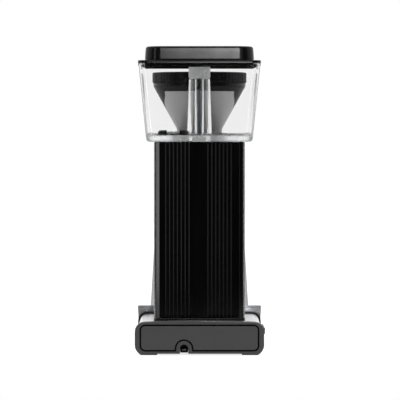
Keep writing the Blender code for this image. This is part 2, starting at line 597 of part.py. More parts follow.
def build_basket(mats):
    black, wall, cone = mats["basket"], 2.2 * MM, 62.4 * MM
    ring = basket_ring_points
    rings = [ring(BASKET_LOW, 1, 0, 30.5 * MM, 13 * MM),
             ring(BASKET_FLOOR - 2 * MM, 1, 0, 31.5 * MM, 13.5 * MM),
             ring(BASKET_FLOOR, 1, 0, 32.3 * MM, 14.5 * MM), ring(CONE_TOP, 0, cone, 0, 0),
             ring(CONE_TOP + 2 * MM, 0, BASKET_R, 0, 0), ring(BASKET_RIM, 0, BASKET_R, 0, 0),
             ring(BASKET_RIM, 0, BASKET_R - wall, 0, 0), ring(CONE_TOP, 0, cone - wall, 0, 0),
             ring(BASKET_FLOOR + 2 * MM, 1, 0, 30.1 * MM, 12.3 * MM)]
    body = loft("basket_body", rings, black)
    boolean(body, rod("outlet_body", 12.6 * MM, 265.5 * MM, 283 * MM, AXIS, black, 24), 'UNION')
    boolean(body, rod("spring_bore_cutter", 9.6 * MM, 250 * MM, 280 * MM, AXIS, black, 24))
    boolean(body, rod("stem_bore_cutter", VALVE_R + 0.7 * MM, 250 * MM, 300 * MM, AXIS, black, 20))
    low, rim_r = BASKET_RIM + GAP, 64.75 * MM
    rim = [(58 * MM, low), (rim_r - 0.75 * MM, low), (rim_r, low + 1.7 * MM), (rim_r, RING_TOP - 1.4 * MM),
           (rim_r - 1.15 * MM, RING_TOP), (60 * MM, RING_TOP), (58 * MM, RING_TOP - 3 * MM)]
    lathe("basket_rim", rim, AXIS, mats["basket"], 40)
    root = BASKET_R + 2 * GAP
    path = [(0, AXIS.y - root - reach * MM, z * MM)
            for reach, z in ((0, 345.3), (14, 345.6), (30, 341), (42, 331))]
    sweep("basket_handle", smooth_path(path, 3), 14 * MM, 4 * MM, mats["basket"])
    button, seal, seal_z = 8.6 * MM, 8 * MM, BASKET_FLOOR + 2 * MM + GAP
    valve_top = seal_z + 3.7 * MM
    valve = [(0, VALVE_LOW), (button - 1.1 * MM, VALVE_LOW), (button, VALVE_LOW + 0.8 * MM),
             (button, VALVE_LOW + 2.5 * MM), (VALVE_R, VALVE_LOW + 2.5 * MM), (VALVE_R, seal_z),
             (seal, seal_z), (seal, valve_top - 2 * MM), (3 * MM, valve_top), (0, valve_top)]
    lathe("drip_valve", valve, AXIS, mats["silicone"], 16)
    low, high, turns, wire, coil = VALVE_LOW + 2.5 * MM, 280 * MM, 3, 0.6 * MM, 7.2 * MM
    start, stop, steps = low + wire + GAP, high - wire - GAP, 10 * turns
    helix = [(AXIS.x + coil * math.cos(2 * math.pi * turns * i / steps),
              AXIS.y + coil * math.sin(2 * math.pi * turns * i / steps),
              start + (stop - start) * i / steps) for i in range(steps + 1)]
    tube("valve_spring", helix, wire, mats["steel"], 1)


def sweep(name, path, half_width, half_thick, mat):
    """Rounded bar along a path in a plane of constant X."""
    section = [(1, 0.45), (0.72, 1), (-0.72, 1), (-1, 0.45), (-1, -0.45), (-0.72, -1), (0.72, -1), (1, -0.45)]
    rings = []
    for i, point in enumerate(path):
        ahead = path[min(i + 1, len(path) - 1)] - path[max(i - 1, 0)]
        along = ahead.normalized()
        normal = Vector((0.0, -along.z, along.y))
        rings.append([Vector((point.x + u * half_width, point.y, point.z)) + normal * (v * half_thick)
                      for u, v in section])
    return loft(name, rings, mat)


# --- carafe -------------------------------------------------------------------
def shell_radius(z):
    """Radius of the carafe's conical wall at height z."""
    low = CARAFE_LOW + CARAFE_FOOT + 3 * MM
    return CARAFE_R + (SHOULDER_R - CARAFE_R) * (z - low) / (SHOULDER_Z - low)


def build_carafe(mats):
    base_top = CARAFE_LOW + CARAFE_FOOT
    lathe("carafe_base", [(0, CARAFE_LOW), (63 * MM, CARAFE_LOW), (64 * MM, CARAFE_LOW + 0.8 * MM),
                          (64 * MM, base_top), (0, base_top)], AXIS, mats["rubber"], 40)
    low, wall = base_top + GAP, 1.2 * MM
    outer = [(0, low), (65 * MM, low), (66.9 * MM, low + 1.0 * MM), (CARAFE_R, low + 2.7 * MM),
             (SHOULDER_R, SHOULDER_Z), (57.3 * MM, 197 * MM), (54 * MM, 204 * MM), (49.5 * MM, 210 * MM),
             (46.5 * MM, NECK_Z)]
    inner = [(45.2 * MM, NECK_Z), (48.6 * MM, 209 * MM), (52.9 * MM, 203.3 * MM), (56.1 * MM, 196.6 * MM),
             (SHOULDER_R - wall, SHOULDER_Z - 0.4 * MM), (CARAFE_R - wall, low + 3.2 * MM),
             (64.6 * MM, low + wall), (0, low + wall)]
    lathe("carafe_shell", outer + inner, AXIS, mats["carafe"], 40)
    liner = [(0, 52 * MM), (58 * MM, 52 * MM), (63.2 * MM, 57 * MM), (55.2 * MM, 188 * MM),
             (51.6 * MM, 199 * MM), (44 * MM, 207.5 * MM), (43 * MM, 212 * MM), (43 * MM, 221 * MM)]
    liner += [(42 * MM, 221 * MM), (42 * MM, 211.6 * MM), (43.2 * MM, 206.8 * MM), (50.8 * MM, 198.4 * MM),
              (54.2 * MM, 187.6 * MM), (62.2 * MM, 57.4 * MM), (57.6 * MM, 53 * MM), (0, 53 * MM)]
    lathe("carafe_liner", liner, AXIS, mats["carafe"], 28)
    collar = [(43.3 * MM, NECK_Z + GAP), (47.5 * MM, NECK_Z + GAP), (49 * MM, NECK_Z + 2 * MM),
              (49 * MM, 232 * MM), (47.5 * MM, 235.5 * MM), (44.6 * MM, 235.5 * MM), (43.3 * MM, 233 * MM)]
    body = lathe("carafe_collar", collar, AXIS, mats["gloss"], 32)
    spout_rings = []
    stations = ((220 * MM, 50 * MM, 12 * MM), (228 * MM, 55 * MM, 14 * MM), (235.2 * MM, 62 * MM, 15 * MM))
    for z, reach, half in stations:
        spout_rings.append([(-half, AXIS.y + 45.5 * MM, z), (half, AXIS.y + 45.5 * MM, z),
                            (half * 0.35, AXIS.y + reach, z), (-half * 0.35, AXIS.y + reach, z)])
    boolean(body, loft("spout_body", spout_rings, mats["gloss"]), 'UNION')
    lid = [(5 * MM, 222 * MM), (41.4 * MM, 222 * MM), (42.4 * MM, 223 * MM), (42.4 * MM, 235.8 * MM),
           (47 * MM, 235.8 * MM), (48 * MM, 237 * MM), (48 * MM, 250 * MM), (45 * MM, 255.5 * MM),
           (38 * MM, 259.5 * MM), (24 * MM, CARAFE_TOP), (19 * MM, 261 * MM), (14 * MM, 254 * MM),
           (5 * MM, 251 * MM)]
    lathe("carafe_lid", lid, AXIS, mats["gloss"], 32, origin=AXIS)
    sleeve("mixing_tube", 6.4 * MM, 7.8 * MM, 62 * MM, 221.7 * MM, AXIS, mats["gloss"], 16, origin=AXIS)
    root, foot_z = 49.3 * MM, 88 * MM
    knots = [(0, -root, 226 * MM), (0, -66 * MM, 236 * MM), (0, -88 * MM, 234 * MM), (0, -101 * MM, 214 * MM),
             (0, -103 * MM, 180 * MM), (0, -97 * MM, 138 * MM), (0, -84 * MM, 104 * MM),
             (0, -shell_radius(foot_z) - 4.6 * MM, foot_z)]
    path = smooth_path([(x, AXIS.y + y, z) for x, y, z in knots], 4)
    handle = sweep("carafe_handle", path, 12 * MM, 5 * MM, mats["gloss"])
    foot = box("handle_foot", (-10 * MM, AXIS.y - 78 * MM, 78 * MM), (10 * MM, AXIS.y - 55 * MM, 98 * MM),
               mats["gloss"])
    boolean(handle, foot, 'UNION')
    low_cut, high_cut = 60 * MM, 120 * MM
    cone = [(0, low_cut), (shell_radius(low_cut) + GAP, low_cut), (shell_radius(high_cut) + GAP, high_cut),
            (0, high_cut)]
    boolean(handle, lathe("handle_cutter", cone, AXIS, mats["gloss"], 48))
    boolean(handle, rod("collar_cutter", 49 * MM + GAP, 205 * MM, 262 * MM, AXIS, mats["gloss"], 40))


def main():
    for obj in list(bpy.data.objects):
        bpy.data.objects.remove(obj, do_unlink=True)
    looks = {
        "cover": ((0.03, 0.03, 0.032), 0.35),
        "rubber": ((0.02, 0.02, 0.02), 0.7),
        "housing": ((0.8, 0.8, 0.8), 0.15, 1.0),
        "trim": ((0.01, 0.01, 0.01), 0.4),
        "fence": ((0.55, 0.55, 0.56), 0.35, 1.0),
        "plate": ((0.05, 0.05, 0.05), 0.5, 0.5),
        "switch": ((0.012, 0.012, 0.012), 0.35),
        "copper": ((0.8, 0.4, 0.25), 0.3, 1.0),
        "steel": ((0.6, 0.6, 0.6), 0.3, 1.0),
        "ceramic": ((0.85, 0.83, 0.78), 0.5),
        "silicone": ((0.8, 0.8, 0.78), 0.5),
        "foot": ((0.01, 0.01, 0.01), 0.3),
        "column": ((0.75, 0.75, 0.76), 0.2, 1.0),
        "back": ((0.008, 0.008, 0.009), 0.15),
        "bracket": ((0.02, 0.02, 0.02), 0.4),
        "clear": ((0.9, 0.95, 0.97), 0.05, 0.0, 0.35),
        "pipe": ((0.9, 0.95, 0.97), 0.05, 0.0, 0.4),
        "nut": ((0.6, 0.62, 0.64), 0.2, 0.0, 0.6),
        "float": ((0.9, 0.9, 0.88), 0.4),
        "arm": ((0.7, 0.7, 0.72), 0.2, 1.0),
        "gloss": ((0.01, 0.01, 0.011), 0.12),
        "basket": ((0.012, 0.012, 0.013), 0.25),
        "carafe": ((0.6, 0.6, 0.61), 0.3, 1.0),
    }
    mats = {name: material(name, *values) for name, values in looks.items()}
    for build in (build_rear_cover, build_cord_gland, build_housing, build_front_trim, build_fence,
                  build_platform, build_switch, build_heater, build_column, build_tank, build_tank_lid,
                  build_basket, build_carafe):
        build(mats)


main()
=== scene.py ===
"""Looks of a counter-top filter coffee brewer with a thermal carafe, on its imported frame."""
import json
import math

import bmesh
import bpy
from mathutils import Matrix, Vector


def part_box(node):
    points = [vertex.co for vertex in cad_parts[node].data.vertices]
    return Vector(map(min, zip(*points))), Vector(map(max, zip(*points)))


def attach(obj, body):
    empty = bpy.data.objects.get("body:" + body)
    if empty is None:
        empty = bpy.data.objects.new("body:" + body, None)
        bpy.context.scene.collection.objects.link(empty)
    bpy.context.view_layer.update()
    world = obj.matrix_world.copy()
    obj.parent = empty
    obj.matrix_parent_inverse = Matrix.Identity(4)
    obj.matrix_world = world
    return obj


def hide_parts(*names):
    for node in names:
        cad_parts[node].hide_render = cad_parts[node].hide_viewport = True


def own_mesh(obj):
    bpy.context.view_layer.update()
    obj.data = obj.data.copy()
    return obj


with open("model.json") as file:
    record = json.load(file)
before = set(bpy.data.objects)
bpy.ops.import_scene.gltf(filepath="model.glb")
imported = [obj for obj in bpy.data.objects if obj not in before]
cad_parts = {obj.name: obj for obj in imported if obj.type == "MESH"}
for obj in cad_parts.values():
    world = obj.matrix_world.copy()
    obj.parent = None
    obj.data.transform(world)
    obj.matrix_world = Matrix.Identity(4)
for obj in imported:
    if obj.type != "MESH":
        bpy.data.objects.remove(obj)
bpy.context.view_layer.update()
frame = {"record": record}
BODY_OF = {node: body for body, nodes in frame["record"]["behaviour"]["bodies"].items()
           for node in nodes}

MM = 0.001
FINE = 12                          # steps in a quarter turn of a rounded corner
ROUND = 96                         # segments of large turned pieces
ON_AXIS = 1e-7                     # a smaller radius lies on the axis of a turned piece


def span(node):
    """Lowest and highest corner of a frame node."""
    low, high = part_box(node)
    return Vector(low), Vector(high)


def middle(node):
    low, high = span(node)
    return (low + high) / 2


def turned(node):
    """Radius, lowest and highest z of a frame node that is round about an upright axis."""
    low, high = span(node)
    return (high.x - low.x) / 2, low.z, high.z


REAR = span("rear_cover")[1].y     # outer face of the rear cover
AXIS = Vector((0.0, middle("carafe_shell").y, 0.0))    # of the carafe, basket and drip stop
RISER = Vector((0.0, middle("riser_nut").y, 0.0))      # of the riser pipe and its nut
SEAT = middle("inlet_seat")                            # of the inlet's ring and float
SPRING_TOP = 280 * MM              # ceiling of the basket's spout, where the spring rests


# --- mesh helpers ---------------------------------------------------------------
def solid(name, bm):
    """Turn a bmesh into an object of the scene."""
    bmesh.ops.recalc_face_normals(bm, faces=bm.faces)
    mesh = bpy.data.meshes.new(name)
    bm.to_mesh(mesh)
    bm.free()
    obj = bpy.data.objects.new(name, mesh)
    bpy.context.scene.collection.objects.link(obj)
    return obj


def weigh_normals(obj):
    """Let wide faces keep their own normal, so that rounded edges don't bend their shading."""
    normals = obj.modifiers.new("normals", 'WEIGHTED_NORMAL')
    normals.keep_sharp = True
    normals.weight = 100


def shade(obj, smooth):
    """Shade smoothly across edges below an angle in degrees."""
    obj.data.shade_smooth()
    obj.data.set_sharp_from_angle(angle=math.radians(smooth))
    weigh_normals(obj)


def piece(name, bm, material, node, smooth=35.0):
    """Make a piece that stands for a frame node and rides on the node's body."""
    obj = solid(name, bm)
    obj.data.materials.append(material)
    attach(obj, BODY_OF[node])
    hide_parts(node)
    shade(obj, smooth)
    return obj


def loft_mesh(rings):
    """Closed skin over rings with the same number of points."""
    bm = bmesh.new()
    loops = [[bm.verts.new(p) for p in ring] for ring in rings]
    count = len(loops[0])
    for low, high in zip(loops, loops[1:]):
        for i in range(count):
            j = (i + 1) % count
            bm.faces.new((low[i], low[j], high[j], high[i]))
    bm.faces.new(loops[0])
    bm.faces.new(loops[-1])
    return bm


def lathe_mesh(profile, centre, segments=ROUND, wave=None):
    """Turn a closed (radius, z) profile; wave(i) scales the outermost points of a segment."""
    bm = bmesh.new()
    outermost = 0.985 * max(r for r, _ in profile)
    rings = []
    for radius, z in profile:
        if radius < ON_AXIS:
            rings.append([bm.verts.new((centre.x, centre.y, z))])
            continue
        ring = []
        for i in range(segments):
            r = radius * wave(i) if wave and radius > outermost else radius
            a = 2.0 * math.pi * i / segments
            ring.append(bm.verts.new((centre.x + r * math.cos(a), centre.y + r * math.sin(a), z)))
        rings.append(ring)
    pairs = list(zip(rings, rings[1:]))
    if len(rings[0]) > 1 and len(rings[-1]) > 1:
        pairs.append((rings[-1], rings[0]))
    for low, high in pairs:
        for i in range(segments):
            j = (i + 1) % segments
            if len(low) == 1:
                bm.faces.new((low[0], high[j], high[i]))
            elif len(high) == 1:
                bm.faces.new((low[i], low[j], high[0]))
            else:
                bm.faces.new((low[i], low[j], high[j], high[i]))
    return bm


def toothed(pitch, crest, depth):
    """Wave for lathe_mesh: crests of some segments, and grooves scaled to depth between them."""
    return lambda i: 1.0 if i % pitch < crest else depth


def plug(radius, z_low, z_high):
    """Profile of a plain cylinder."""
    return [(0, z_low), (radius, z_low), (radius, z_high), (0, z_high)]


def sleeve(bore, radius, z_low, z_high):
    """Profile of a pipe."""
    return [(bore, z_low), (radius, z_low), (radius, z_high), (bore, z_high)]


def rounded(profile, radius, steps, closed=True):
    """Round the corners of a profile with short quadratic curves."""
    points = [Vector(p) for p in profile]
    count = len(points)
    result = []
    for i, corner in enumerate(points):
        if corner.x < ON_AXIS or (not closed and i in (0, count - 1)):
            result.append(tuple(corner))
            continue
        before, after = points[i - 1] - corner, points[(i + 1) % count] - corner
        reach = min(radius, 0.45 * before.length, 0.45 * after.length)
        start, stop = corner + before.normalized() * reach, corner + after.normalized() * reach
        for k in range(steps + 1):
            t = k / steps
            result.append(tuple(start * (1 - t) ** 2 + corner * 2 * t * (1 - t) + stop * t * t))
    return result


def rounded_rect(half_x, y_low, y_high, radius):
    corners = [(half_x - radius, y_low + radius, -90), (half_x - radius, y_high - radius, 0),
               (radius - half_x, y_high - radius, 90), (radius - half_x, y_low + radius, 180)]
    points = []
    for cx, cy, start in corners:
        for i in range(FINE + 1):
            a = math.radians(start + 90.0 * i / FINE)
            points.append((cx + radius * math.cos(a), cy + radius * math.sin(a)))
    return points


def plan_ring(half_x, back, front, radius, z):
    """Rounded rectangle between two depths from the rear cover, at height z."""
    return [(x, y, z) for x, y in rounded_rect(half_x, REAR - front, REAR - back, radius)]


def plan_rings(shape):
    """Plan rings from rows of (half width, back, front, corner radius, height) in mm."""
    return [plan_ring(*(value * MM for value in row)) for row in shape]


def smooth_path(knots, steps):
    """Curve through all knots, with some steps from each to the next."""
    knots = [Vector(k) for k in knots]
    ends = [knots[0] * 2 - knots[1]] + knots + [knots[-1] * 2 - knots[-2]]
    points = []
    for a, b, c, d in zip(ends, ends[1:], ends[2:], ends[3:]):
        for i in range(steps):
            t = i / steps
            points.append(0.5 * ((2 * b) + (c - a) * t + (2 * a - 5 * b + 4 * c - d) * t * t
                                 + (3 * b - a - 3 * c + d) * t ** 3))
    points.append(knots[-1])
    return points


def sweep_mesh(path, half_width, half_thick, sides, power, scale=None):
    """Bar along a path in a plane of constant X; a lower power makes its section squarer."""
    rings = []
    for i, point in enumerate(path):
        along = (path[min(i + 1, len(path) - 1)] - path[max(i - 1, 0)]).normalized()
        normal = Vector((0.0, -along.z, along.y))
        size = scale(i / (len(path) - 1)) if scale else 1.0
        ring = []
        for k in range(sides):
            a = 2 * math.pi * k / sides
            u = math.copysign(abs(math.cos(a)) ** power, math.cos(a)) * half_width * size
            v = math.copysign(abs(math.sin(a)) ** power, math.sin(a)) * half_thick
            ring.append(Vector((point.x + u, point.y, point.z)) + normal * v)
        rings.append(ring)
    return loft_mesh(rings)


def coil_mesh(centre, coil, wire, low, high, turns):
    """Round wire wound about Z, from height low to height high at the wire's middle."""
    steps, sides = 32, 12
    slope = (high - low) / turns / (2 * math.pi * coil)
    rings = []
    for i in range(turns * steps + 1):
        a = 2 * math.pi * i / steps
        out = Vector((math.cos(a), math.sin(a), 0))
        up = Vector((slope * math.sin(a), -slope * math.cos(a), 1)).normalized()
        z = low + (high - low) * i / (turns * steps)
        centreline = Vector((centre.x, centre.y, z)) + out * coil
        rings.append([centreline + out * wire * math.cos(b) + up * wire * math.sin(b)
                      for b in (2 * math.pi * k / sides for k in range(sides))])
    return loft_mesh(rings)


def box_mesh(low, high):
    outline = [(low[0], low[1]), (high[0], low[1]), (high[0], high[1]), (low[0], high[1])]
    return loft_mesh([[(x, y, z) for x, y in outline] for z in (low[2], high[2])])


def carve(target, tools, operation='DIFFERENCE', smooth=35.0):
    """Apply booleans at once and drop their tools."""
    target.modifiers.clear()
    for tool in tools:
        step = target.modifiers.new("cut", 'BOOLEAN')
        step.operation = operation
        step.solver = 'EXACT'
        step.object = tool
    bake(target)
    for tool in tools:
        bpy.data.objects.remove(tool, do_unlink=True)
    shade(target, smooth)


def bake(obj):
    """Replace an object's mesh by what its modifiers make of it."""
    graph = bpy.context.evaluated_depsgraph_get()
    made = bpy.data.meshes.new_from_object(obj.evaluated_get(graph))
    obj.modifiers.clear()
    obj.data = made


def refine(node, material, bevel=0.4, segments=3, angle=40.0):
    """A copy of a frame node with its sharp edges rounded off, in place of the node.

    The bevel is in mm, and the angle in degrees is the smallest that is rounded.
    """
    bm = bmesh.new()
    bm.from_mesh(bpy.data.objects[node].data)
    bmesh.ops.remove_doubles(bm, verts=bm.verts, dist=1e-6)
    bmesh.ops.dissolve_limit(bm, angle_limit=math.radians(1.0), verts=bm.verts, edges=bm.edges)
    obj = piece(node + "_shape", bm, material, node=node)
    obj.modifiers.clear()
    edge = obj.modifiers.new("edges", 'BEVEL')
    edge.width = bevel * MM
    edge.segments = segments
    edge.limit_method = 'ANGLE'
    edge.angle_limit = math.radians(angle)
    weigh_normals(obj)
    return obj


# --- materials ------------------------------------------------------------------
class Look:
    """Principled material with object-space detail; lengths are in metres."""

    def __init__(self, name, colour, roughness, metallic=0.0, **sockets):
        self.material = bpy.data.materials.new(name)
        self.material.use_nodes = True
        self.nodes, self.links = self.material.node_tree.nodes, self.material.node_tree.links
        self.shader = self.nodes["Principled BSDF"]
        self.shader.inputs["Base Color"].default_value = (*colour, 1.0)
        self.shader.inputs["Roughness"].default_value = roughness
        self.shader.inputs["Metallic"].default_value = metallic
        for socket, value in sockets.items():
            self.shader.inputs[socket.replace("_", " ")].default_value = value
        self.coords = self.nodes.new("ShaderNodeTexCoord")

    def noise(self, scale, stretch, detail):
        mapping = self.nodes.new("ShaderNodeMapping")
        mapping.inputs["Scale"].default_value = stretch
        texture = self.nodes.new("ShaderNodeTexNoise")
        texture.inputs["Scale"].default_value = scale
        texture.inputs["Detail"].default_value = detail
        texture.inputs["Roughness"].default_value = 0.55
        self.links.new(self.coords.outputs["Object"], mapping.inputs["Vector"])
        self.links.new(mapping.outputs["Vector"], texture.inputs["Vector"])
        return texture.outputs["Fac"]

    def spread(self, low, high, scale, stretch):
        """Noise, with its middle range spread from low to high."""
        ramp = self.nodes.new("ShaderNodeMapRange")
        for socket, value in (("From Min", 0.3), ("From Max", 0.7), ("To Min", low), ("To Max", high)):
            ramp.inputs[socket].default_value = value
        self.links.new(self.noise(scale, stretch, 4.0), ramp.inputs["Value"])
        return ramp.outputs["Result"]

    def rough(self, low, high, scale, stretch=(1, 1, 1)):
        """Roughness that varies between two values."""
        self.links.new(self.spread(low, high, scale, stretch), self.shader.inputs["Roughness"])
        return self

    def tint(self, first, second, scale, stretch=(1, 1, 1)):
        """Colour that varies between two tones."""
        mix = self.nodes.new("ShaderNodeMix")
        mix.data_type = 'RGBA'
        mix.inputs["A"].default_value = (*first, 1.0)
        mix.inputs["B"].default_value = (*second, 1.0)
        self.links.new(self.spread(0.0, 1.0, scale, stretch), mix.inputs["Factor"])
        self.links.new(mix.outputs["Result"], self.shader.inputs["Base Color"])
        return self

    def bump(self, scale, distance, stretch=(1, 1, 1), strength=1.0):
        """Fine relief of a depth."""
        node = self.nodes.new("ShaderNodeBump")
        node.inputs["Distance"].default_value = distance
        node.inputs["Strength"].default_value = strength
        self.links.new(self.noise(scale, stretch, 3.0), node.inputs["Height"])
        self.links.new(node.outputs["Normal"], self.shader.inputs["Normal"])
        return self


def make_looks():
    """All finishes by name."""
    looks = {}
    ones = (1.0, 1.0, 1.0)

    def look(name, *args, **sockets):
        looks[name] = Look(name, *args, **sockets)
        return looks[name]

    # Moulded plastics: fine spark-eroded grain, or gloss with faint handling haze.
    (look("cover_plastic", (0.036, 0.036, 0.037), 0.4)
     .rough(0.32, 0.46, 60).bump(2600, 0.00002, strength=0.5))
    # Near-black and dull: painted shade for the rear cover's grooves and the cord gland.
    look("recess_painted_shade", (0.0015, 0.0015, 0.0015), 0.9, Specular_IOR_Level=0.1).rough(0.8, 1.0, 90)
    (look("gloss_black", (0.005, 0.005, 0.0055), 0.08, Coat_Weight=0.3, Coat_Roughness=0.04)
     .rough(0.06, 0.13, 45).bump(28, 0.00012, strength=0.25))
    (look("lid_gloss", (0.004, 0.004, 0.0045), 0.16, IOR=1.25)
     .rough(0.13, 0.22, 45).bump(28, 0.00012, strength=0.25))
    (look("column_gloss", (0.0004, 0.0004, 0.0005), 0.12)
     .rough(0.08, 0.18, 50, (1, 1, 0.15)).bump(40, 0.0001, (1, 1, 0.2), strength=0.3))
    (look("spine_black", (0.0003, 0.0003, 0.0004), 0.16, Specular_IOR_Level=0.24)
     .rough(0.12, 0.2, 50, (1, 1, 0.15)))
    (look("trim_black", (0.002, 0.002, 0.0022), 0.3, Specular_IOR_Level=0.3)
     .rough(0.24, 0.36, 80).bump(1800, 0.00001, strength=0.4))
    (look("switch_plastic", (0.009, 0.009, 0.01), 0.25)
     .rough(0.2, 0.34, 120).bump(2400, 0.00001, strength=0.4))
    (look("basket_black", (0.001, 0.001, 0.0012), 0.22, Specular_IOR_Level=0.2)
     .rough(0.18, 0.3, 70).bump(900, 0.00001, strength=0.3))
    # Grey front and back of the black basket cone: a painted reflection of the studio light.
    (look("basket_painted_reflection", (0.42, 0.42, 0.43), 0.34)
     .tint((0.38, 0.38, 0.386), (0.46, 0.46, 0.467), 14)
     .rough(0.28, 0.42, 70).bump(1500, 0.00001, strength=0.4))
    look("white_plastic", (0.82, 0.82, 0.79), 0.4).rough(0.34, 0.48, 90)
    (look("powder_black", (0.018, 0.018, 0.019), 0.5)
     .rough(0.42, 0.6, 90).bump(1400, 0.00006, strength=0.7))
    # Rubber and silicone.
    (look("rubber_black", (0.016, 0.016, 0.017), 0.7)
     .rough(0.6, 0.85, 80).bump(1200, 0.00005, strength=0.7))
    (look("silicone", (0.72, 0.72, 0.7), 0.45, Subsurface_Weight=0.2, Subsurface_Radius=ones)
     .rough(0.38, 0.55, 60).bump(700, 0.00002))
    look("wire_skin", (0.03, 0.03, 0.03), 0.5).rough(0.42, 0.6, 150).bump(500, 0.00003)
    # Metals: extrusion lines, brushing and turning marks.
    (look("polished_housing", (0.84, 0.84, 0.86), 0.34, 1.0)
     .rough(0.28, 0.42, 220, (1, 0.02, 1)).bump(700, 0.000004, (1, 0.01, 1), strength=0.5))
    (look("column_metal", (0.82, 0.82, 0.83), 0.14, 1.0)
     .rough(0.1, 0.22, 240, (1, 1, 0.02)).bump(700, 0.000004, (1, 1, 0.01), strength=0.5))
    (look("brushed_fence", (0.3, 0.3, 0.31), 0.34, 1.0)
     .tint((0.24, 0.24, 0.25), (0.36, 0.36, 0.37), 900, (0.02, 1, 1))
     .rough(0.26, 0.42, 900, (0.02, 1, 1)).bump(1600, 0.00001, (0.01, 1, 1), strength=0.6))
    (look("brushed_carafe", (0.6, 0.6, 0.61), 0.3, 1.0, Specular_Tint=(0.65, 0.65, 0.65, 1.0))
     .tint((0.56, 0.56, 0.57), (0.65, 0.65, 0.66), 1000, (0.02, 0.02, 1))
     .rough(0.24, 0.38, 900, (0.02, 0.02, 1)).bump(1800, 0.000005, (0.01, 0.01, 1), strength=0.5))
    look("plain_steel", (0.62, 0.62, 0.63), 0.26, 1.0).rough(0.22, 0.32, 40)
    (look("copper", (0.8, 0.36, 0.2), 0.3, 1.0)
     .tint((0.7, 0.3, 0.17), (0.86, 0.45, 0.3), 60).rough(0.22, 0.42, 120))
    look("ceramic", (0.8, 0.78, 0.72), 0.5).rough(0.4, 0.6, 150).bump(500, 0.00003)
    # Clear and frosted mouldings; the frosted one glows a little, a painted glow.
    (look("clear_plastic", (0.985, 0.985, 0.985), 0.02, Transmission_Weight=1.0, IOR=1.45)
     .rough(0.0, 0.03, 60).bump(12, 0.00015, strength=0.05))
    (look("clear_pipe", (0.94, 0.96, 0.97), 0.03, Transmission_Weight=1.0, IOR=1.45)
     .rough(0.0, 0.05, 90))
    # Frosted nut: the white emission is a painted glow, not a lamp.
    (look("frosted", (0.8, 0.82, 0.83), 0.3, Subsurface_Weight=0.8, Subsurface_Scale=0.02,
          Subsurface_Radius=ones, IOR=1.4, Emission_Color=(*ones, 1.0), Emission_Strength=0.1)
     .tint((0.6, 0.62, 0.63), (0.95, 0.96, 0.97), 260).rough(0.2, 0.45, 140)
     .bump(400, 0.0001, strength=0.7))
    (look("clear_frosted", (0.86, 0.87, 0.88), 0.35, Transmission_Weight=0.85, IOR=1.3)
     .rough(0.2, 0.5, 160).tint((0.86, 0.87, 0.88), ones, 180, (1, 1, 0.4))
     .bump(220, 0.0002, strength=0.8))
    return {name: item.material for name, item in looks.items()}


LOOK = make_looks()


def dress(node, look):
    """Give a frame node that keeps its shape a finished material."""
    obj = bpy.data.objects[node]
    for item in obj.material_slots:
        item.material = LOOK[look]


def paint(obj, look, chosen):
    """Give the faces for which chosen(face) holds a second finish."""
    obj.data.materials.append(LOOK[look])
    slot = len(obj.data.materials) - 1
    for face in obj.data.polygons:
        if chosen(face):
            face.material_index = slot


# --- base -----------------------------------------------------------------------
def inside_cover(point):
    """True in the grooves of the rear cover and in its cord outlet, not on its outer rim; these faces get
    painted shade.
    """
    low, high = span("rear_cover")
    rim, foot, shallow, deep = 5 * MM, 4.5 * MM, 1.0 * MM, 8.5 * MM
    within = low.z + foot < point.z < high.z - rim and abs(point.x) < high.x - rim
    return within and shallow < REAR - point.y < deep


def make_base():
    """Housing, rear cover, switch, platform and feet."""
    cover = refine("rear_cover", LOOK["cover_plastic"], 0.35, 2, 50.0)
    # Painted shade: the cover's grooves and cord outlet are coloured near-black.
    paint(cover, "recess_painted_shade", lambda face: inside_cover(face.center))
    gland = refine("cord_gland", LOOK["rubber_black"], 0.4)
    # Painted shade: the whole cord gland, deep in its arch, is coloured near-black.
    paint(gland, "recess_painted_shade", lambda face: True)
    refine("base_housing", LOOK["polished_housing"], 0.3, 2, 60.0)
    refine("front_trim", LOOK["trim_black"], 0.3, 2, 60.0)
    refine("carafe_fence", LOOK["brushed_fence"], 0.5, 3)
    refine("platform_body", LOOK["polished_housing"], 0.3, 2, 50.0)
    refine("platform_plate", LOOK["powder_black"], 0.4, 2)
    refine("switch_bezel", LOOK["switch_plastic"], 0.5, 3)
    refine("switch_rocker", LOOK["switch_plastic"], 0.3, 3)
    refine("column_foot", LOOK["trim_black"], 0.6, 3)
    make_mat()
    for side in ("left", "right"):
        make_foot("rubber_foot_" + side)


def make_mat():
    """Rubber mat of the platform: round ridges between a plain rim and a plain middle."""
    radius, bottom, top = turned("platform_mat")
    rim, plain, groove, count = 3.0 * MM, 5 * MM, 0.5 * MM, 14
    band = radius - 12 * MM
    pitch = band / count
    profile = [(0, bottom), (radius, bottom), (radius, top - 0.6 * MM), (radius - 0.6 * MM, top)]
    for i in range(count):
        r = radius - rim - band * i / count
        profile += [(r, top), (r - 0.35 * pitch, top), (r - 0.45 * pitch, top - groove),
                    (r - 0.9 * pitch, top - groove)]
    profile += [(plain, top - groove), (0, top - groove)]
    piece("mat_ridged", lathe_mesh(profile, AXIS), LOOK["rubber_black"], node="platform_mat", smooth=25)


def make_foot(node):
    """Rubber foot with a shallow ring groove in its underside."""
    radius, bottom, top = turned(node)
    foot = [(0, bottom), (radius - 3 * MM, bottom), (radius - 1.6 * MM, bottom + 0.35 * MM),
            (radius - 0.6 * MM, bottom), (radius, bottom + 1.1 * MM), (radius, top), (0, top)]
    bm = lathe_mesh(rounded(foot, 0.3 * MM, 3), middle(node), 48)
    piece(node + "_shape", bm, LOOK["rubber_black"], node=node)


def make_inside():
    """Heater, wiring and hoses inside the base and the column."""
    for look, nodes in (("copper", ["boiler_tube"]), ("plain_steel", ["heating_element", "thermal_fuse"]),
                        ("silicone", ["cold_hose", "riser_hose", "tank_gasket"]),
                        ("wire_skin", ["switch_wire"]), ("powder_black", ["column_cap"])):
        for node in nodes:
            dress(node, look)
    refine("thermostat", LOOK["ceramic"], 0.5)
    refine("terminal_block", LOOK["ceramic"], 0.5)


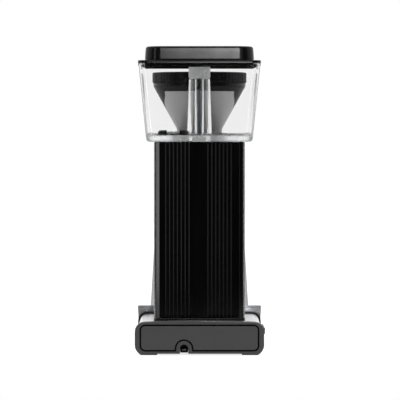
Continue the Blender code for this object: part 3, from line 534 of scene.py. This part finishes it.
# --- column ---------------------------------------------------------------------
def make_column():
    """Column shell, spine and the basket's bracket with its screws."""
    refine("column_shell", LOOK["column_metal"], 0.3, 2, 60.0)
    make_column_back()
    refine("basket_holder", LOOK["powder_black"], 0.6, 3)
    for side in ("left", "right"):
        make_screw("holder_screw_" + side)


def make_screw(node):
    """Domed screw head with a cross slot, facing the front."""
    low, high = span(node)
    centre, radius, depth = middle(node), (high.x - low.x) / 2, high.y - low.y
    dome = [(0, 0), (radius, 0), (radius * 0.97, depth * 0.35), (radius * 0.72, depth * 0.8), (0.0, depth)]
    bm = lathe_mesh(rounded(dome, 0.4 * MM, 3, closed=False), Vector((0, 0, 0)), 40)
    turn_to_front(bm, (centre.x, high.y, centre.z))
    screw = piece(node + "_shape", bm, LOOK["plain_steel"], node=node)
    length, width, deep = 2.2 * MM, 0.45 * MM, 1.2 * MM
    carve(screw, [solid("slot", box_mesh((centre.x - along, low.y - 1 * MM, centre.z - across),
                                         (centre.x + along, low.y + deep, centre.z + across)))
                  for along, across in ((length, width), (width, length))])


def make_column_back():
    """Black spine of the column: two ribbed fields and a slanting flank at either edge."""
    low, high = span("column_back")
    half, face = high.x, high.y
    level, inside = face - 0.1 * MM, low.y + 1.4 * MM
    flank, drop, lip = 4.8 * MM, 2.1 * MM, 4 * MM
    start, stop = 9.6 * MM, 44.6 * MM
    ribs, depth, steps = 7, 0.52 * MM, 12
    side = [(0.0, level), (start - 1 * MM, level)]
    for i in range(ribs * steps + 1):
        turn = 2 * math.pi * i / steps
        side.append((start + (stop - start) * i / (ribs * steps), level - 0.5 * depth * (1 - math.cos(turn))))
    side += [(half - flank - 0.5 * MM, level), (half - flank, face - 0.3 * MM),
             (half - 0.3 * MM, face - drop), (half, face - drop - 0.5 * MM),
             (half, low.y), (half - lip, low.y), (half - lip, inside), (0.0, inside)]
    outline = side + [(-x, y) for x, y in reversed(side[1:-1])]
    bm = loft_mesh([[(x, y, z) for x, y in outline] for z in (low.z, high.z)])
    spine = piece("column_spine", bm, LOOK["column_gloss"], node="column_back", smooth=30)
    edge = half - flank - 0.6 * MM
    paint(spine, "spine_black", lambda f: abs(f.center.x) < edge and f.center.y > face - 1 * MM)


def turn_to_front(bm, place_at):
    """Lay a piece turned about +Z on its side, so that it points to -Y, at a place."""
    for v in bm.verts:
        x, y, z = v.co
        v.co = (place_at[0] + x, place_at[1] - z, place_at[2] + y)


# --- reservoir ------------------------------------------------------------------
def make_tank():
    """Clear reservoir with a thick floor and a channel for the riser pipe; rows are in mm."""
    low, high = span("tank")
    rim, floor = high.z / MM, low.z / MM
    half, back, front = high.x / MM, (REAR - high.y) / MM, (REAR - low.y) / MM
    wall = 2.5
    outer = [(64.2, 31.0, 95.0, 9.0, floor), (66.4, 29.4, 96.6, 10.0, floor + 0.5),
             (67.9, 28.4, 97.6, 11.0, floor + 1.8), (68.7, 28.0, 98.0, 12.0, floor + 3.8),
             (69.2, 27.7, 99.6, 12.0, floor + 8.6),
             (half - 0.9, back + 0.6, front - 1.0, 12.0, rim - 3.4),
             (half - 0.2, back + 0.1, front - 0.1, 12.0, rim - 2.6),
             (half, back, front, 12.0, rim - 2.2), (half, back, front, 12.0, rim - 0.4),
             (half - 0.4, back + 0.4, front - 0.4, 11.6, rim)]
    inner = [(half - wall + 0.4, back + wall - 0.4, front - wall + 0.4, 9.9, rim),
             (half - wall, back + wall, front - wall, 9.5, rim - 0.4),
             (69.6 - wall, 27.6 + wall, 100.4 - wall, 9.5, floor + 11.4),
             (68.6 - wall, 28.4 + wall, 99.0 - wall, 9.0, floor + 9.2),
             (66.8 - wall, 30.0 + wall, 97.2 - wall, 7.5, floor + 8.2),
             (64.4 - wall, 32.4 + wall, 94.8 - wall, 5.5, floor + 8.0)]
    bm = loft_mesh(plan_rings(outer + inner))
    tank = piece("tank_clear", bm, LOOK["clear_plastic"], node="tank")
    slab, top = (floor + 4.0) * MM, 353.1 * MM
    channel = [(0, slab), (16.4 * MM, slab), (16.3 * MM, slab + 5 * MM), (13.9 * MM, top - 0.4 * MM),
               (13.5 * MM, top), (0, top)]
    carve(tank, [solid("channel", lathe_mesh(channel, RISER, 48))], 'UNION')
    below, above = 0.26, 0.36      # heights clear of the floor and of the channel's top
    bore = [(0, below), (14.3 * MM, below), (11.9 * MM, above), (0, above)]
    hole = plug(4 * MM, below, 0.3)
    carve(tank, [solid("bore", lathe_mesh(bore, RISER, 48)), solid("hole", lathe_mesh(hole, SEAT, 32))])
    paint(tank, "clear_frosted", lambda face: face.center.z < (floor + 8.5) * MM)


def make_riser():
    """Riser pipe in the channel and the ribbed nut that holds the outlet arm."""
    radius, bottom, top = turned("riser_tube")
    pipe = rounded(sleeve(radius - 1.5 * MM, radius, bottom, top), 0.4 * MM, 2)
    piece("riser_pipe", lathe_mesh(pipe, RISER, 48), LOOK["clear_pipe"], node="riser_tube")
    _, bottom, top = turned("riser_nut")
    bore, recess, edge, radius = 6.3 * MM, 9 * MM, 12.6 * MM, 14.0 * MM
    nut = [(bore, bottom), (edge, bottom), (radius, bottom + 1.4 * MM), (radius, top - 1.4 * MM),
           (edge, top), (recess, top), (recess, top - 1.2 * MM), (bore, top - 1.2 * MM)]
    grip = lathe_mesh(nut, RISER, 96, wave=toothed(6, 3, 0.945))
    # Painted glow: the frosted nut emits a little light.
    piece("riser_nut_ribbed", grip, LOOK["frosted"], node="riser_nut", smooth=25)


def make_inlet():
    """Vented ring on the reservoir's floor, open to the back and the front, and its float."""
    radius, bottom, top = turned("inlet_seat")
    seat = [(12 * MM, bottom), (radius, bottom), (radius, top - 2 * MM), (radius - 2 * MM, top),
            (13.6 * MM, top), (12 * MM, top - 1.6 * MM)]
    bm = lathe_mesh(rounded(seat, 0.5 * MM, 3), SEAT, 64)
    ring = piece("inlet_ring", bm, LOOK["basket_black"], node="inlet_seat")
    reach, half, vents = 25 * MM, 1.6 * MM, 4
    slots = []
    for i in range(vents):
        a = math.pi * i / vents + math.pi / 8
        bm = box_mesh((-reach, -half, bottom + 2.2 * MM), (reach, half, bottom + 4.6 * MM))
        for v in bm.verts:
            x, y = v.co.x, v.co.y
            v.co.x = SEAT.x + x * math.cos(a) - y * math.sin(a)
            v.co.y = SEAT.y + x * math.sin(a) + y * math.cos(a)
        slots.append(solid("vent", bm))
    half, reach, lift = 8.5 * MM, 40 * MM, 1.0 * MM
    slots.append(solid("window", box_mesh((SEAT.x - half, SEAT.y - reach, bottom + lift),
                                          (SEAT.x + half, SEAT.y + reach, top + lift))))
    carve(ring, slots)
    radius, bottom, top = turned("inlet_float")
    disc = [(0, bottom), (radius - 2 * MM, bottom), (radius, bottom + 1.5 * MM), (radius, top - 1.2 * MM),
            (radius - 3 * MM, top), (5 * MM, top), (4 * MM, top - 0.8 * MM), (0, top - 0.8 * MM)]
    bm = lathe_mesh(rounded(disc, 0.4 * MM, 3), SEAT, 48)
    piece("float_disc", bm, LOOK["white_plastic"], node="inlet_float")


def make_tank_lid():
    """Domed lid: its top, its brim over the reservoir's rim, and back up inside; rows in mm."""
    low, high = span("tank_lid")
    top, base, brim = high.z / MM, low.z / MM, high.x / MM
    shape = [(40.0, 58.0, 96.0, 8.0, top - 0.9), (55.4, 45.0, 110.0, 11.0, top - 0.9),
             (55.8, 44.6, 110.4, 11.0, top - 0.7), (56.2, 44.2, 110.8, 11.4, top),
             (66.4, 35.2, 119.8, 18.0, top), (67.7, 34.0, 121.0, 19.0, top - 0.2),
             (68.6, 33.2, 121.8, 19.6, top - 0.7), (69.2, 32.6, 122.4, 20.0, top - 1.5),
             (69.6, 32.3, 122.7, 20.0, top - 2.8), (70.1, 31.8, 123.2, 20.4, top - 8.0),
             (70.6, 31.1, 123.9, 21.0, top - 16.2), (70.1, 31.6, 123.4, 20.5, top - 16.6),
             (70.1, 31.6, 123.4, 20.5, top - 17.8), (71.0, 30.7, 124.3, 20.4, top - 18.2),
             (brim - 0.8, 22.6, 129.6, 13.0, top - 18.3), (brim - 0.18, 21.98, 130.22, 13.0, top - 18.7),
             (brim - 0.16, 21.96, 130.24, 13.0, 374.1), (brim, 21.8, 130.4, 13.0, 372.6),
             (brim - 0.2, 22.0, 130.2, 13.0, 372.4), (brim - 0.6, 22.4, 129.8, 13.0, 372.3),
             (75.2, 26.0, 126.2, 16.0, 372.3), (74.8, 26.4, 125.8, 16.0, 371.9),
             (74.4, 26.8, 125.4, 16.0, base + 0.5), (74.0, 27.2, 125.0, 15.6, base),
             (72.8, 28.4, 123.8, 14.4, base), (72.4, 28.8, 123.4, 14.0, base + 0.5),
             (71.8, 29.4, 122.8, 14.0, base + 6.0), (67.6, 33.8, 121.2, 18.0, 378.0),
             (66.8, 34.4, 120.6, 18.0, 390.8), (65.8, 35.2, 119.8, 17.0, 391.8)]
    bm = loft_mesh(plan_rings(shape))
    lid = piece("tank_lid_gloss", bm, LOOK["lid_gloss"], node="tank_lid", smooth=40)
    half, sill, ceiling, steps = 6.7 * MM, 0.36, 386.5 * MM, 12
    arch = [(-half, sill), (half, sill)]
    for i in range(steps + 1):
        a = math.pi * i / steps
        arch.append((half * math.cos(a), ceiling - half + half * math.sin(a)))
    bm = loft_mesh([[(x, y, z) for x, z in arch] for y in (REAR - 140 * MM, REAR - 112 * MM)])
    carve(lid, [solid("notch", bm)], smooth=40)


def make_outlet_arm():
    """Pipe from the riser nut, with one bend up and one down to the spray head."""
    radius, _, top = turned("outlet_arm")
    level = top - radius
    rise, drop, steps = 11 * MM, 5.1 * MM, 12
    path = [(0, RISER.y, 369.3 * MM)]
    for bend, centre, start in ((rise, RISER.y - rise, 0), (drop, AXIS.y + drop, 90)):
        for i in range(steps + 1):
            a = math.radians(start + 90 * i / steps)
            path.append((0, centre + bend * math.cos(a), level - bend + bend * math.sin(a)))
    path.append((0, AXIS.y, span("spray_head")[1].z + 0.3 * MM))
    arm = sweep_mesh([Vector(point) for point in path], radius, radius, 32, 1.0)
    piece("arm_pipe", arm, LOOK["plain_steel"], node="outlet_arm")


def make_spray_head():
    """Round disc with a ring of jets and one in its middle."""
    _, z, top = turned("spray_head")
    head = [(0, z), (13.4 * MM, z), (14.6 * MM, z + 0.4 * MM), (15 * MM, z + 1.1 * MM),
            (14.6 * MM, z + 2.0 * MM), (12 * MM, z + 2.6 * MM), (7 * MM, top), (0, top)]
    spray = piece("spray_disc", lathe_mesh(head, AXIS, 64), LOOK["plain_steel"], node="spray_head")
    jet, ring, count = plug(1.1 * MM, z - 1 * MM, z + 1.2 * MM), 9.5 * MM, 8
    turns = [2 * math.pi * i / count for i in range(count)]
    centres = [AXIS + Vector((ring * math.cos(a), ring * math.sin(a), 0)) for a in turns] + [AXIS]
    carve(spray, [solid("jet", lathe_mesh(jet, centre, 16)) for centre in centres])


# --- brew basket ----------------------------------------------------------------
BASKET_STEPS = 160                 # points round the cone
FLAT_EDGE = 17                     # the point, from the X axis, where the flats with the painted reflection begin


def basket_ring(z, mix, radius, half_x, half_y):
    """Ring of the cone, from round (mix 0) to a rounded slot (mix 1); the flats widen downwards."""
    top_edge, growth = 38.0, 28.0  # degrees from the X axis, and degrees gained on the way down
    fall = min(1.0, max(0.0, 2 * mix - 0.2))
    edge = top_edge - growth * fall * fall * (3 - 2 * fall)
    quarter = BASKET_STEPS // 4
    points = []
    for i in range(BASKET_STEPS):
        sector, k = divmod(i, quarter)
        k = quarter - k if sector % 2 else k
        if k < FLAT_EDGE:
            turn = edge * k / FLAT_EDGE
        else:
            turn = 90 - (90 - edge) * (quarter - k) / (quarter - FLAT_EDGE)
        c, s = math.cos(math.radians(turn)), math.sin(math.radians(turn))
        c, s = (-c if sector in (1, 2) else c), (-s if sector > 1 else s)
        slot = (half_x * math.copysign(math.sqrt(abs(c)), c), half_y * math.copysign(math.sqrt(abs(s)), s))
        points.append((AXIS.x + radius * c * (1 - mix) + slot[0] * mix,
                       AXIS.y + radius * s * (1 - mix) + slot[1] * mix, z * MM))
    return points


def on_flat(index, rows):
    """True on the flats of the lofted cone, which carry a painted reflection: its front and its back, up to a
    number of rows.
    """
    row, step = divmod(index, BASKET_STEPS)
    half = BASKET_STEPS // 2
    return row < rows and FLAT_EDGE <= step % half < half - FLAT_EDGE


def make_basket():
    """Brew basket: a round cone that becomes a long foot, with a bored spout under it."""
    radius, bottom, top = turned("basket_body")
    rim, foot = top / MM, bottom / MM + 11.6
    wall, cone, cone_top, floor, steps = 2.2 * MM, 62.4 * MM, rim - 6.3, rim - 60.5, 10
    ring = basket_ring

    def cone_rings(z0, z1, r, wide, deep):
        """From the round top down to the long foot of the cone."""
        return [ring(z0 + (z1 - z0) * i / steps, i / steps, r, wide, deep) for i in range(steps + 1)]

    outer = [ring(foot, 1, 0, 29.9 * MM, 12.4 * MM), ring(foot + 0.6, 1, 0, 30.5 * MM, 13 * MM),
             ring(floor - 2.6, 1, 0, 31.2 * MM, 13.4 * MM), ring(floor - 1.4, 1, 0, 31.6 * MM, 13.9 * MM)]
    outer += list(reversed(cone_rings(cone_top, floor, cone, 32.3 * MM, 14.5 * MM)))
    flat_rows = len(outer) - 2     # all but the cone's top row
    outer += [ring(z, 0, r, 0, 0)
              for z, r in ((cone_top + 0.8, cone + 0.4 * MM), (cone_top + 1.6, radius - 0.3 * MM),
                           (cone_top + 2.2, radius), (rim - 0.4, radius), (rim, radius - 0.4 * MM))]
    inner = [ring(rim, 0, radius - wall + 0.3 * MM, 0, 0), ring(rim - 0.4, 0, radius - wall, 0, 0)]
    inner += cone_rings(cone_top, floor + 2.0, cone - wall, 30.1 * MM, 12.3 * MM)
    bm = loft_mesh(outer + inner)
    body = piece("basket_cone", bm, LOOK["basket_black"], node="basket_body", smooth=50)
    # Painted reflection: the cone's front and back are coloured grey.
    paint(body, "basket_painted_reflection", lambda face: on_flat(face.index, flat_rows))
    spout = rounded(plug(12.6 * MM, 265.5 * MM, 283 * MM), 0.8 * MM, 3)
    carve(body, [solid("spout", lathe_mesh(spout, AXIS, 48))], 'UNION')
    below, above = 250 * MM, 300 * MM
    bores = [plug(9.6 * MM, below, SPRING_TOP), plug(5.2 * MM, below, above)]
    carve(body, [solid("bore", lathe_mesh(bore, AXIS, 40)) for bore in bores], smooth=40)


def make_basket_rim():
    """Toothed black ring on top of the basket."""
    radius, bottom, top = turned("basket_rim")
    profile = [(58 * MM, bottom), (radius - 0.6 * MM, bottom), (radius, bottom + 1.2 * MM),
               (radius, top - 3.0 * MM), (radius, top - 1.2 * MM), (radius - 1.3 * MM, top),
               (60 * MM, top), (58 * MM, top - 2.4 * MM)]
    teeth = lathe_mesh(profile, AXIS, 64 * 6, wave=toothed(6, 3, 0.9868))
    piece("basket_rim_toothed", teeth, LOOK["basket_black"], node="basket_rim", smooth=25)


def make_basket_handle():
    """Flat grip that reaches forward from the basket and bends down."""
    rim, root = span("basket_body")[1].z / MM, span("basket_handle")[1].y
    path = [(0, root - reach * MM, (rim - fall) * MM)
            for reach, fall in ((0, 4.2), (14, 3.9), (30, 8.5), (42, 18.5))]
    grip = sweep_mesh(smooth_path(path, 8), 14 * MM, 4 * MM, 40, 0.5,
                      scale=lambda t: 1.0 - 0.14 * math.sin(math.pi * min(1.0, t * 1.25)))
    piece("basket_grip", grip, LOOK["basket_black"], node="basket_handle")


def make_drip_valve():
    """Valve under the basket and the spring round its stem."""
    _, z, top = turned("drip_valve")
    button_top, seal, stem = z + 2.5 * MM, top - 3.7 * MM, 4.5 * MM
    valve = [(0, z), (7.2 * MM, z), (8.6 * MM, z + 1.0 * MM), (8.6 * MM, button_top), (stem, button_top),
             (stem, seal), (8 * MM, seal), (8 * MM, seal + 1.5 * MM), (3 * MM, top), (0, top)]
    bm = lathe_mesh(rounded(valve, 0.3 * MM, 2), AXIS, 48)
    piece("valve_stem", bm, LOOK["silicone"], node="drip_valve")
    _, bottom, top = turned("valve_spring")
    ceiling, wire, stroke = SPRING_TOP, 0.58 * MM, 5 * MM
    coil = coil_mesh(AXIS, 7.2 * MM, wire, bottom + wire, top - wire, 3)
    spring = piece("spring_coil", coil, LOOK["plain_steel"], node="valve_spring", smooth=80)
    bake(spring)
    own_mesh(spring)


# --- carafe ---------------------------------------------------------------------
def make_carafe():
    """Foot and double-walled body of the thermal carafe."""
    radius, z, top = turned("carafe_base")
    foot = [(0, z + 0.8 * MM), (54 * MM, z + 0.8 * MM), (55.5 * MM, z), (62.6 * MM, z),
            (radius, z + 0.9 * MM), (radius, top), (0, top)]
    bm = lathe_mesh(rounded(foot, 0.5 * MM, 3), AXIS)
    piece("carafe_foot", bm, LOOK["rubber_black"], node="carafe_base")
    radius, z, top = turned("carafe_shell")
    shoulder = 188 * MM
    outer = [(0, z), (64.6 * MM, z), (66.2 * MM, z + 0.4 * MM), (67.1 * MM, z + 1.3 * MM),
             (radius, z + 2.7 * MM), (58.9 * MM, shoulder), (58.2 * MM, 193 * MM), (56.9 * MM, 198 * MM),
             (54.6 * MM, 203 * MM), (51.6 * MM, 207.2 * MM), (48.6 * MM, 210.6 * MM),
             (47.1 * MM, 212.4 * MM), (46.5 * MM, top)]
    inner = [(45.4 * MM, top), (45.6 * MM, 212.2 * MM), (48.0 * MM, 209.4 * MM), (53.2 * MM, 202.6 * MM),
             (56.4 * MM, 195 * MM), (57.5 * MM, shoulder), (66.2 * MM, z + 3.4 * MM),
             (65.6 * MM, z + 1.8 * MM), (64.2 * MM, z + 1.2 * MM), (0, z + 1.2 * MM)]
    bm = lathe_mesh(outer + inner, AXIS, 128)
    piece("carafe_body", bm, LOOK["brushed_carafe"], node="carafe_shell", smooth=40)
    dress("carafe_liner", "brushed_carafe")


def make_carafe_lid():
    """Turning lid with a grip, a dished top and a slotted mixing tube under it."""
    r, z, top = turned("carafe_lid")
    plug_radius, underside = 42.4 * MM, 235.8 * MM
    lid = [(5 * MM, z), (41 * MM, z), (plug_radius, z + 1.2 * MM), (plug_radius, underside),
           (r - 1.2 * MM, underside), (r, 237 * MM), (r, 249 * MM), (r - 1 * MM, 252.4 * MM),
           (r - 4 * MM, 256 * MM), (r - 10 * MM, 259.4 * MM), (r - 18 * MM, top - 0.6 * MM),
           (25 * MM, top), (20 * MM, top - 0.6 * MM), (17 * MM, top - 4 * MM), (13 * MM, top - 8.6 * MM),
           (5 * MM, top - 11 * MM)]
    grips = lathe_mesh(rounded(lid, 0.5 * MM, 2), AXIS, 160, wave=toothed(8, 5, 0.992))
    piece("carafe_cap_ribbed", grips, LOOK["gloss_black"], node="carafe_lid", smooth=30)
    _, bottom, top = turned("mixing_tube")
    pipe = rounded(sleeve(6.4 * MM, 7.8 * MM, bottom, top), 0.3 * MM, 2)
    tube = piece("mixing_pipe", lathe_mesh(pipe, AXIS, 40), LOOK["basket_black"], node="mixing_tube")
    reach, half, length = 20 * MM, 1.5 * MM, 12
    carve(tube, [solid("slot", box_mesh((AXIS.x - reach, AXIS.y - half, z * MM),
                                        (AXIS.x + reach, AXIS.y + half, (z + length) * MM)))
                 for z in (80, 110, 140)])


def make_collar():
    """Collar round the carafe's neck, with a pouring spout opposite the handle."""
    _, z, top = turned("carafe_collar")
    bore, radius, groove = 43.3 * MM, 49 * MM, 48.6 * MM
    profile = [(bore, z), (47.5 * MM, z), (radius, z + 1.7 * MM), (radius, 221 * MM),
               (groove, 221.4 * MM), (groove, 222.2 * MM), (radius, 222.6 * MM), (radius, 232 * MM),
               (48.2 * MM, 234.6 * MM), (46.6 * MM, top - 0.2 * MM), (44.6 * MM, top - 0.2 * MM),
               (bore, 233 * MM)]
    bm = lathe_mesh(profile, AXIS, 96)
    collar = piece("carafe_collar_shape", bm, LOOK["gloss_black"], node="carafe_collar")
    foot, root, steps = 219 * MM, AXIS.y + 45.5 * MM, 8
    rings = []
    for k in range(steps + 1):
        t = k / steps
        height = foot + (top - foot) * t
        tip, half = AXIS.y + (48.4 * MM + 13.6 * MM * t ** 1.6), 11 * MM + 4 * MM * t
        ring = [(-half, root), (half, root)]
        for i in range(steps + 1):
            a = math.pi * i / steps
            ring.append((half * math.cos(a), root + (tip - root) * math.sin(a) ** 0.8))
        rings.append([(x, y, height) for x, y in ring])
    carve(collar, [solid("spout", loft_mesh(rings))], 'UNION')


def make_handle():
    """Carafe handle: a curved grip from the collar to a pad on the body, cut to both."""
    knots = [(49.3, 226), (66, 236), (88, 234), (101, 214), (103, 180), (97, 138), (84, 104), (69.4, 88)]
    path = smooth_path([(0, AXIS.y - reach * MM, z * MM) for reach, z in knots], 10)
    bm = sweep_mesh(path, 12 * MM, 5 * MM, 40, 0.62, scale=lambda t: 1.0 - 0.16 * math.sin(math.pi * t) ** 2)
    handle = piece("carafe_grip", bm, LOOK["gloss_black"], node="carafe_handle")
    half, bottom = 9.6 * MM, span("carafe_handle")[0].z + 0.4 * MM
    pad = box_mesh((-half, AXIS.y - 75 * MM, bottom), (half, AXIS.y - 55 * MM, 97.5 * MM))
    bmesh.ops.bevel(pad, geom=list(pad.edges), offset=2.4 * MM, segments=4, affect='EDGES', profile=0.5)
    carve(handle, [solid("pad", pad)], 'UNION')
    wide, z0, _ = turned("carafe_shell")
    z0 += 2.7 * MM
    slope, gap = (58.7 * MM - wide) / (190 * MM - z0), 0.3 * MM
    low, high = 60 * MM, 120 * MM
    cone = [(0, low), (wide + slope * (low - z0) + gap, low), (wide + slope * (high - z0) + gap, high),
            (0, high)]
    neck = plug(49.3 * MM, 205 * MM, 262 * MM)
    carve(handle, [solid("cone", lathe_mesh(cone, AXIS, 96)), solid("neck", lathe_mesh(neck, AXIS, 96))])


# --- studio ---------------------------------------------------------------------
def make_floor():
    """Pale floor that glows, less so in reflections; it ends a little behind the brewer's back."""
    bm = bmesh.new()
    edge = REAR + 0.32
    for x, y in ((-3, -3), (3, -3), (3, edge), (-3, edge)):
        bm.verts.new((x, y, 0))
    bm.faces.new(bm.verts)
    mesh = bpy.data.meshes.new("floor")
    bm.to_mesh(mesh)
    bm.free()
    floor = bpy.data.objects.new("floor", mesh)
    bpy.context.scene.collection.objects.link(floor)
    look = Look("pale_floor", (0.5, 0.5, 0.5), 0.8)
    look.shader.inputs["Emission Color"].default_value = (1, 1, 1, 1)
    path = look.nodes.new("ShaderNodeLightPath")
    glow = look.nodes.new("ShaderNodeMapRange")
    glow.inputs["To Min"].default_value = 0.7
    glow.inputs["To Max"].default_value = 0.12
    look.links.new(path.outputs["Is Glossy Ray"], glow.inputs["Value"])
    look.links.new(glow.outputs["Result"], look.shader.inputs["Emission Strength"])
    mesh.materials.append(look.material)


def area_light(name, place_at, aim, width, height, power):
    data = bpy.data.lights.new(name, 'AREA')
    data.shape = 'RECTANGLE'
    data.size, data.size_y, data.energy = width, height, power
    lamp = bpy.data.objects.new(name, data)
    lamp.location = place_at
    lamp.rotation_euler = (Vector(aim) - Vector(place_at)).to_track_quat('-Z', 'Y').to_euler()
    bpy.context.scene.collection.objects.link(lamp)


def make_world():
    """White all round; reflections show a dark side of the studio behind the brewer's back."""
    world = bpy.data.worlds.new("studio")
    bpy.context.scene.world = world
    world.use_nodes = True
    nodes, links = world.node_tree.nodes, world.node_tree.links
    back = nodes["Background"]
    coords = nodes.new("ShaderNodeTexCoord")
    split = nodes.new("ShaderNodeSeparateXYZ")
    links.new(coords.outputs["Generated"], split.inputs["Vector"])
    fade = nodes.new("ShaderNodeMapRange")
    fade.interpolation_type = 'SMOOTHSTEP'
    for socket, value in (("From Min", 0.05), ("From Max", 0.5), ("To Min", 1.0), ("To Max", 0.03)):
        fade.inputs[socket].default_value = value
    links.new(split.outputs["Y"], fade.inputs["Value"])
    path = nodes.new("ShaderNodeLightPath")
    bounces = nodes.new("ShaderNodeMath")
    links.new(path.outputs["Glossy Depth"], bounces.inputs[0])
    links.new(path.outputs["Diffuse Depth"], bounces.inputs[1])
    seen = nodes.new("ShaderNodeMath")
    seen.operation = 'LESS_THAN'
    seen.inputs[1].default_value = 0.5
    links.new(bounces.outputs["Value"], seen.inputs[0])
    level = nodes.new("ShaderNodeMath")
    level.operation = 'MAXIMUM'
    links.new(seen.outputs["Value"], level.inputs[0])
    links.new(fade.outputs["Result"], level.inputs[1])
    back.inputs["Color"].default_value = (1, 1, 1, 1)
    links.new(level.outputs["Value"], back.inputs["Strength"])


def make_studio():
    make_floor()
    make_world()
    brewer, lid = (0.0, 0.05, 0.2), (0, REAR, 0.385)
    # Name, place, aim, width, height and power.
    area_light("top", (0.0, 0.0, 1.7), brewer, 1.4, 1.4, 14)
    area_light("lid_glow", (-0.17, REAR + 2.0, 0.95), lid, 0.49, 0.34, 11.0)
    area_light("lid_glow_right", (-0.32, REAR + 2.0, 0.95), lid, 0.54, 0.34, 5.5)
    area_light("left", (1.1, REAR + 1.0, 0.5), brewer, 0.25, 1.2, 3)
    area_light("right", (-0.72, REAR + 1.3, 0.5), brewer, 0.25, 1.2, 1.3)
    make_camera()


def make_camera():
    """Long lens on the brewer's back, from a little above its middle."""
    data = bpy.data.cameras.new("camera")
    camera = bpy.data.objects.new("camera", data)
    bpy.context.scene.collection.objects.link(camera)
    distance, height = 2.4, 0.2968
    camera.location = (0.0, REAR + distance, height)
    aim = Vector((-0.7 * MM, REAR, 197.9 * MM))
    camera.rotation_euler = (aim - camera.location).to_track_quat('-Z', 'Y').to_euler()
    data.sensor_width = 36.0
    data.lens = 170.3
    data.clip_start, data.clip_end = 0.05, 30.0
    bpy.context.scene.camera = camera
    bpy.context.scene.view_settings.view_transform = 'Standard'


make_base()
make_inside()
make_column()
make_tank()
make_riser()
make_inlet()
make_tank_lid()
make_outlet_arm()
make_spray_head()
make_basket()
make_basket_rim()
make_basket_handle()
make_drip_valve()
make_carafe()
make_carafe_lid()
make_collar()
make_handle()
make_studio()
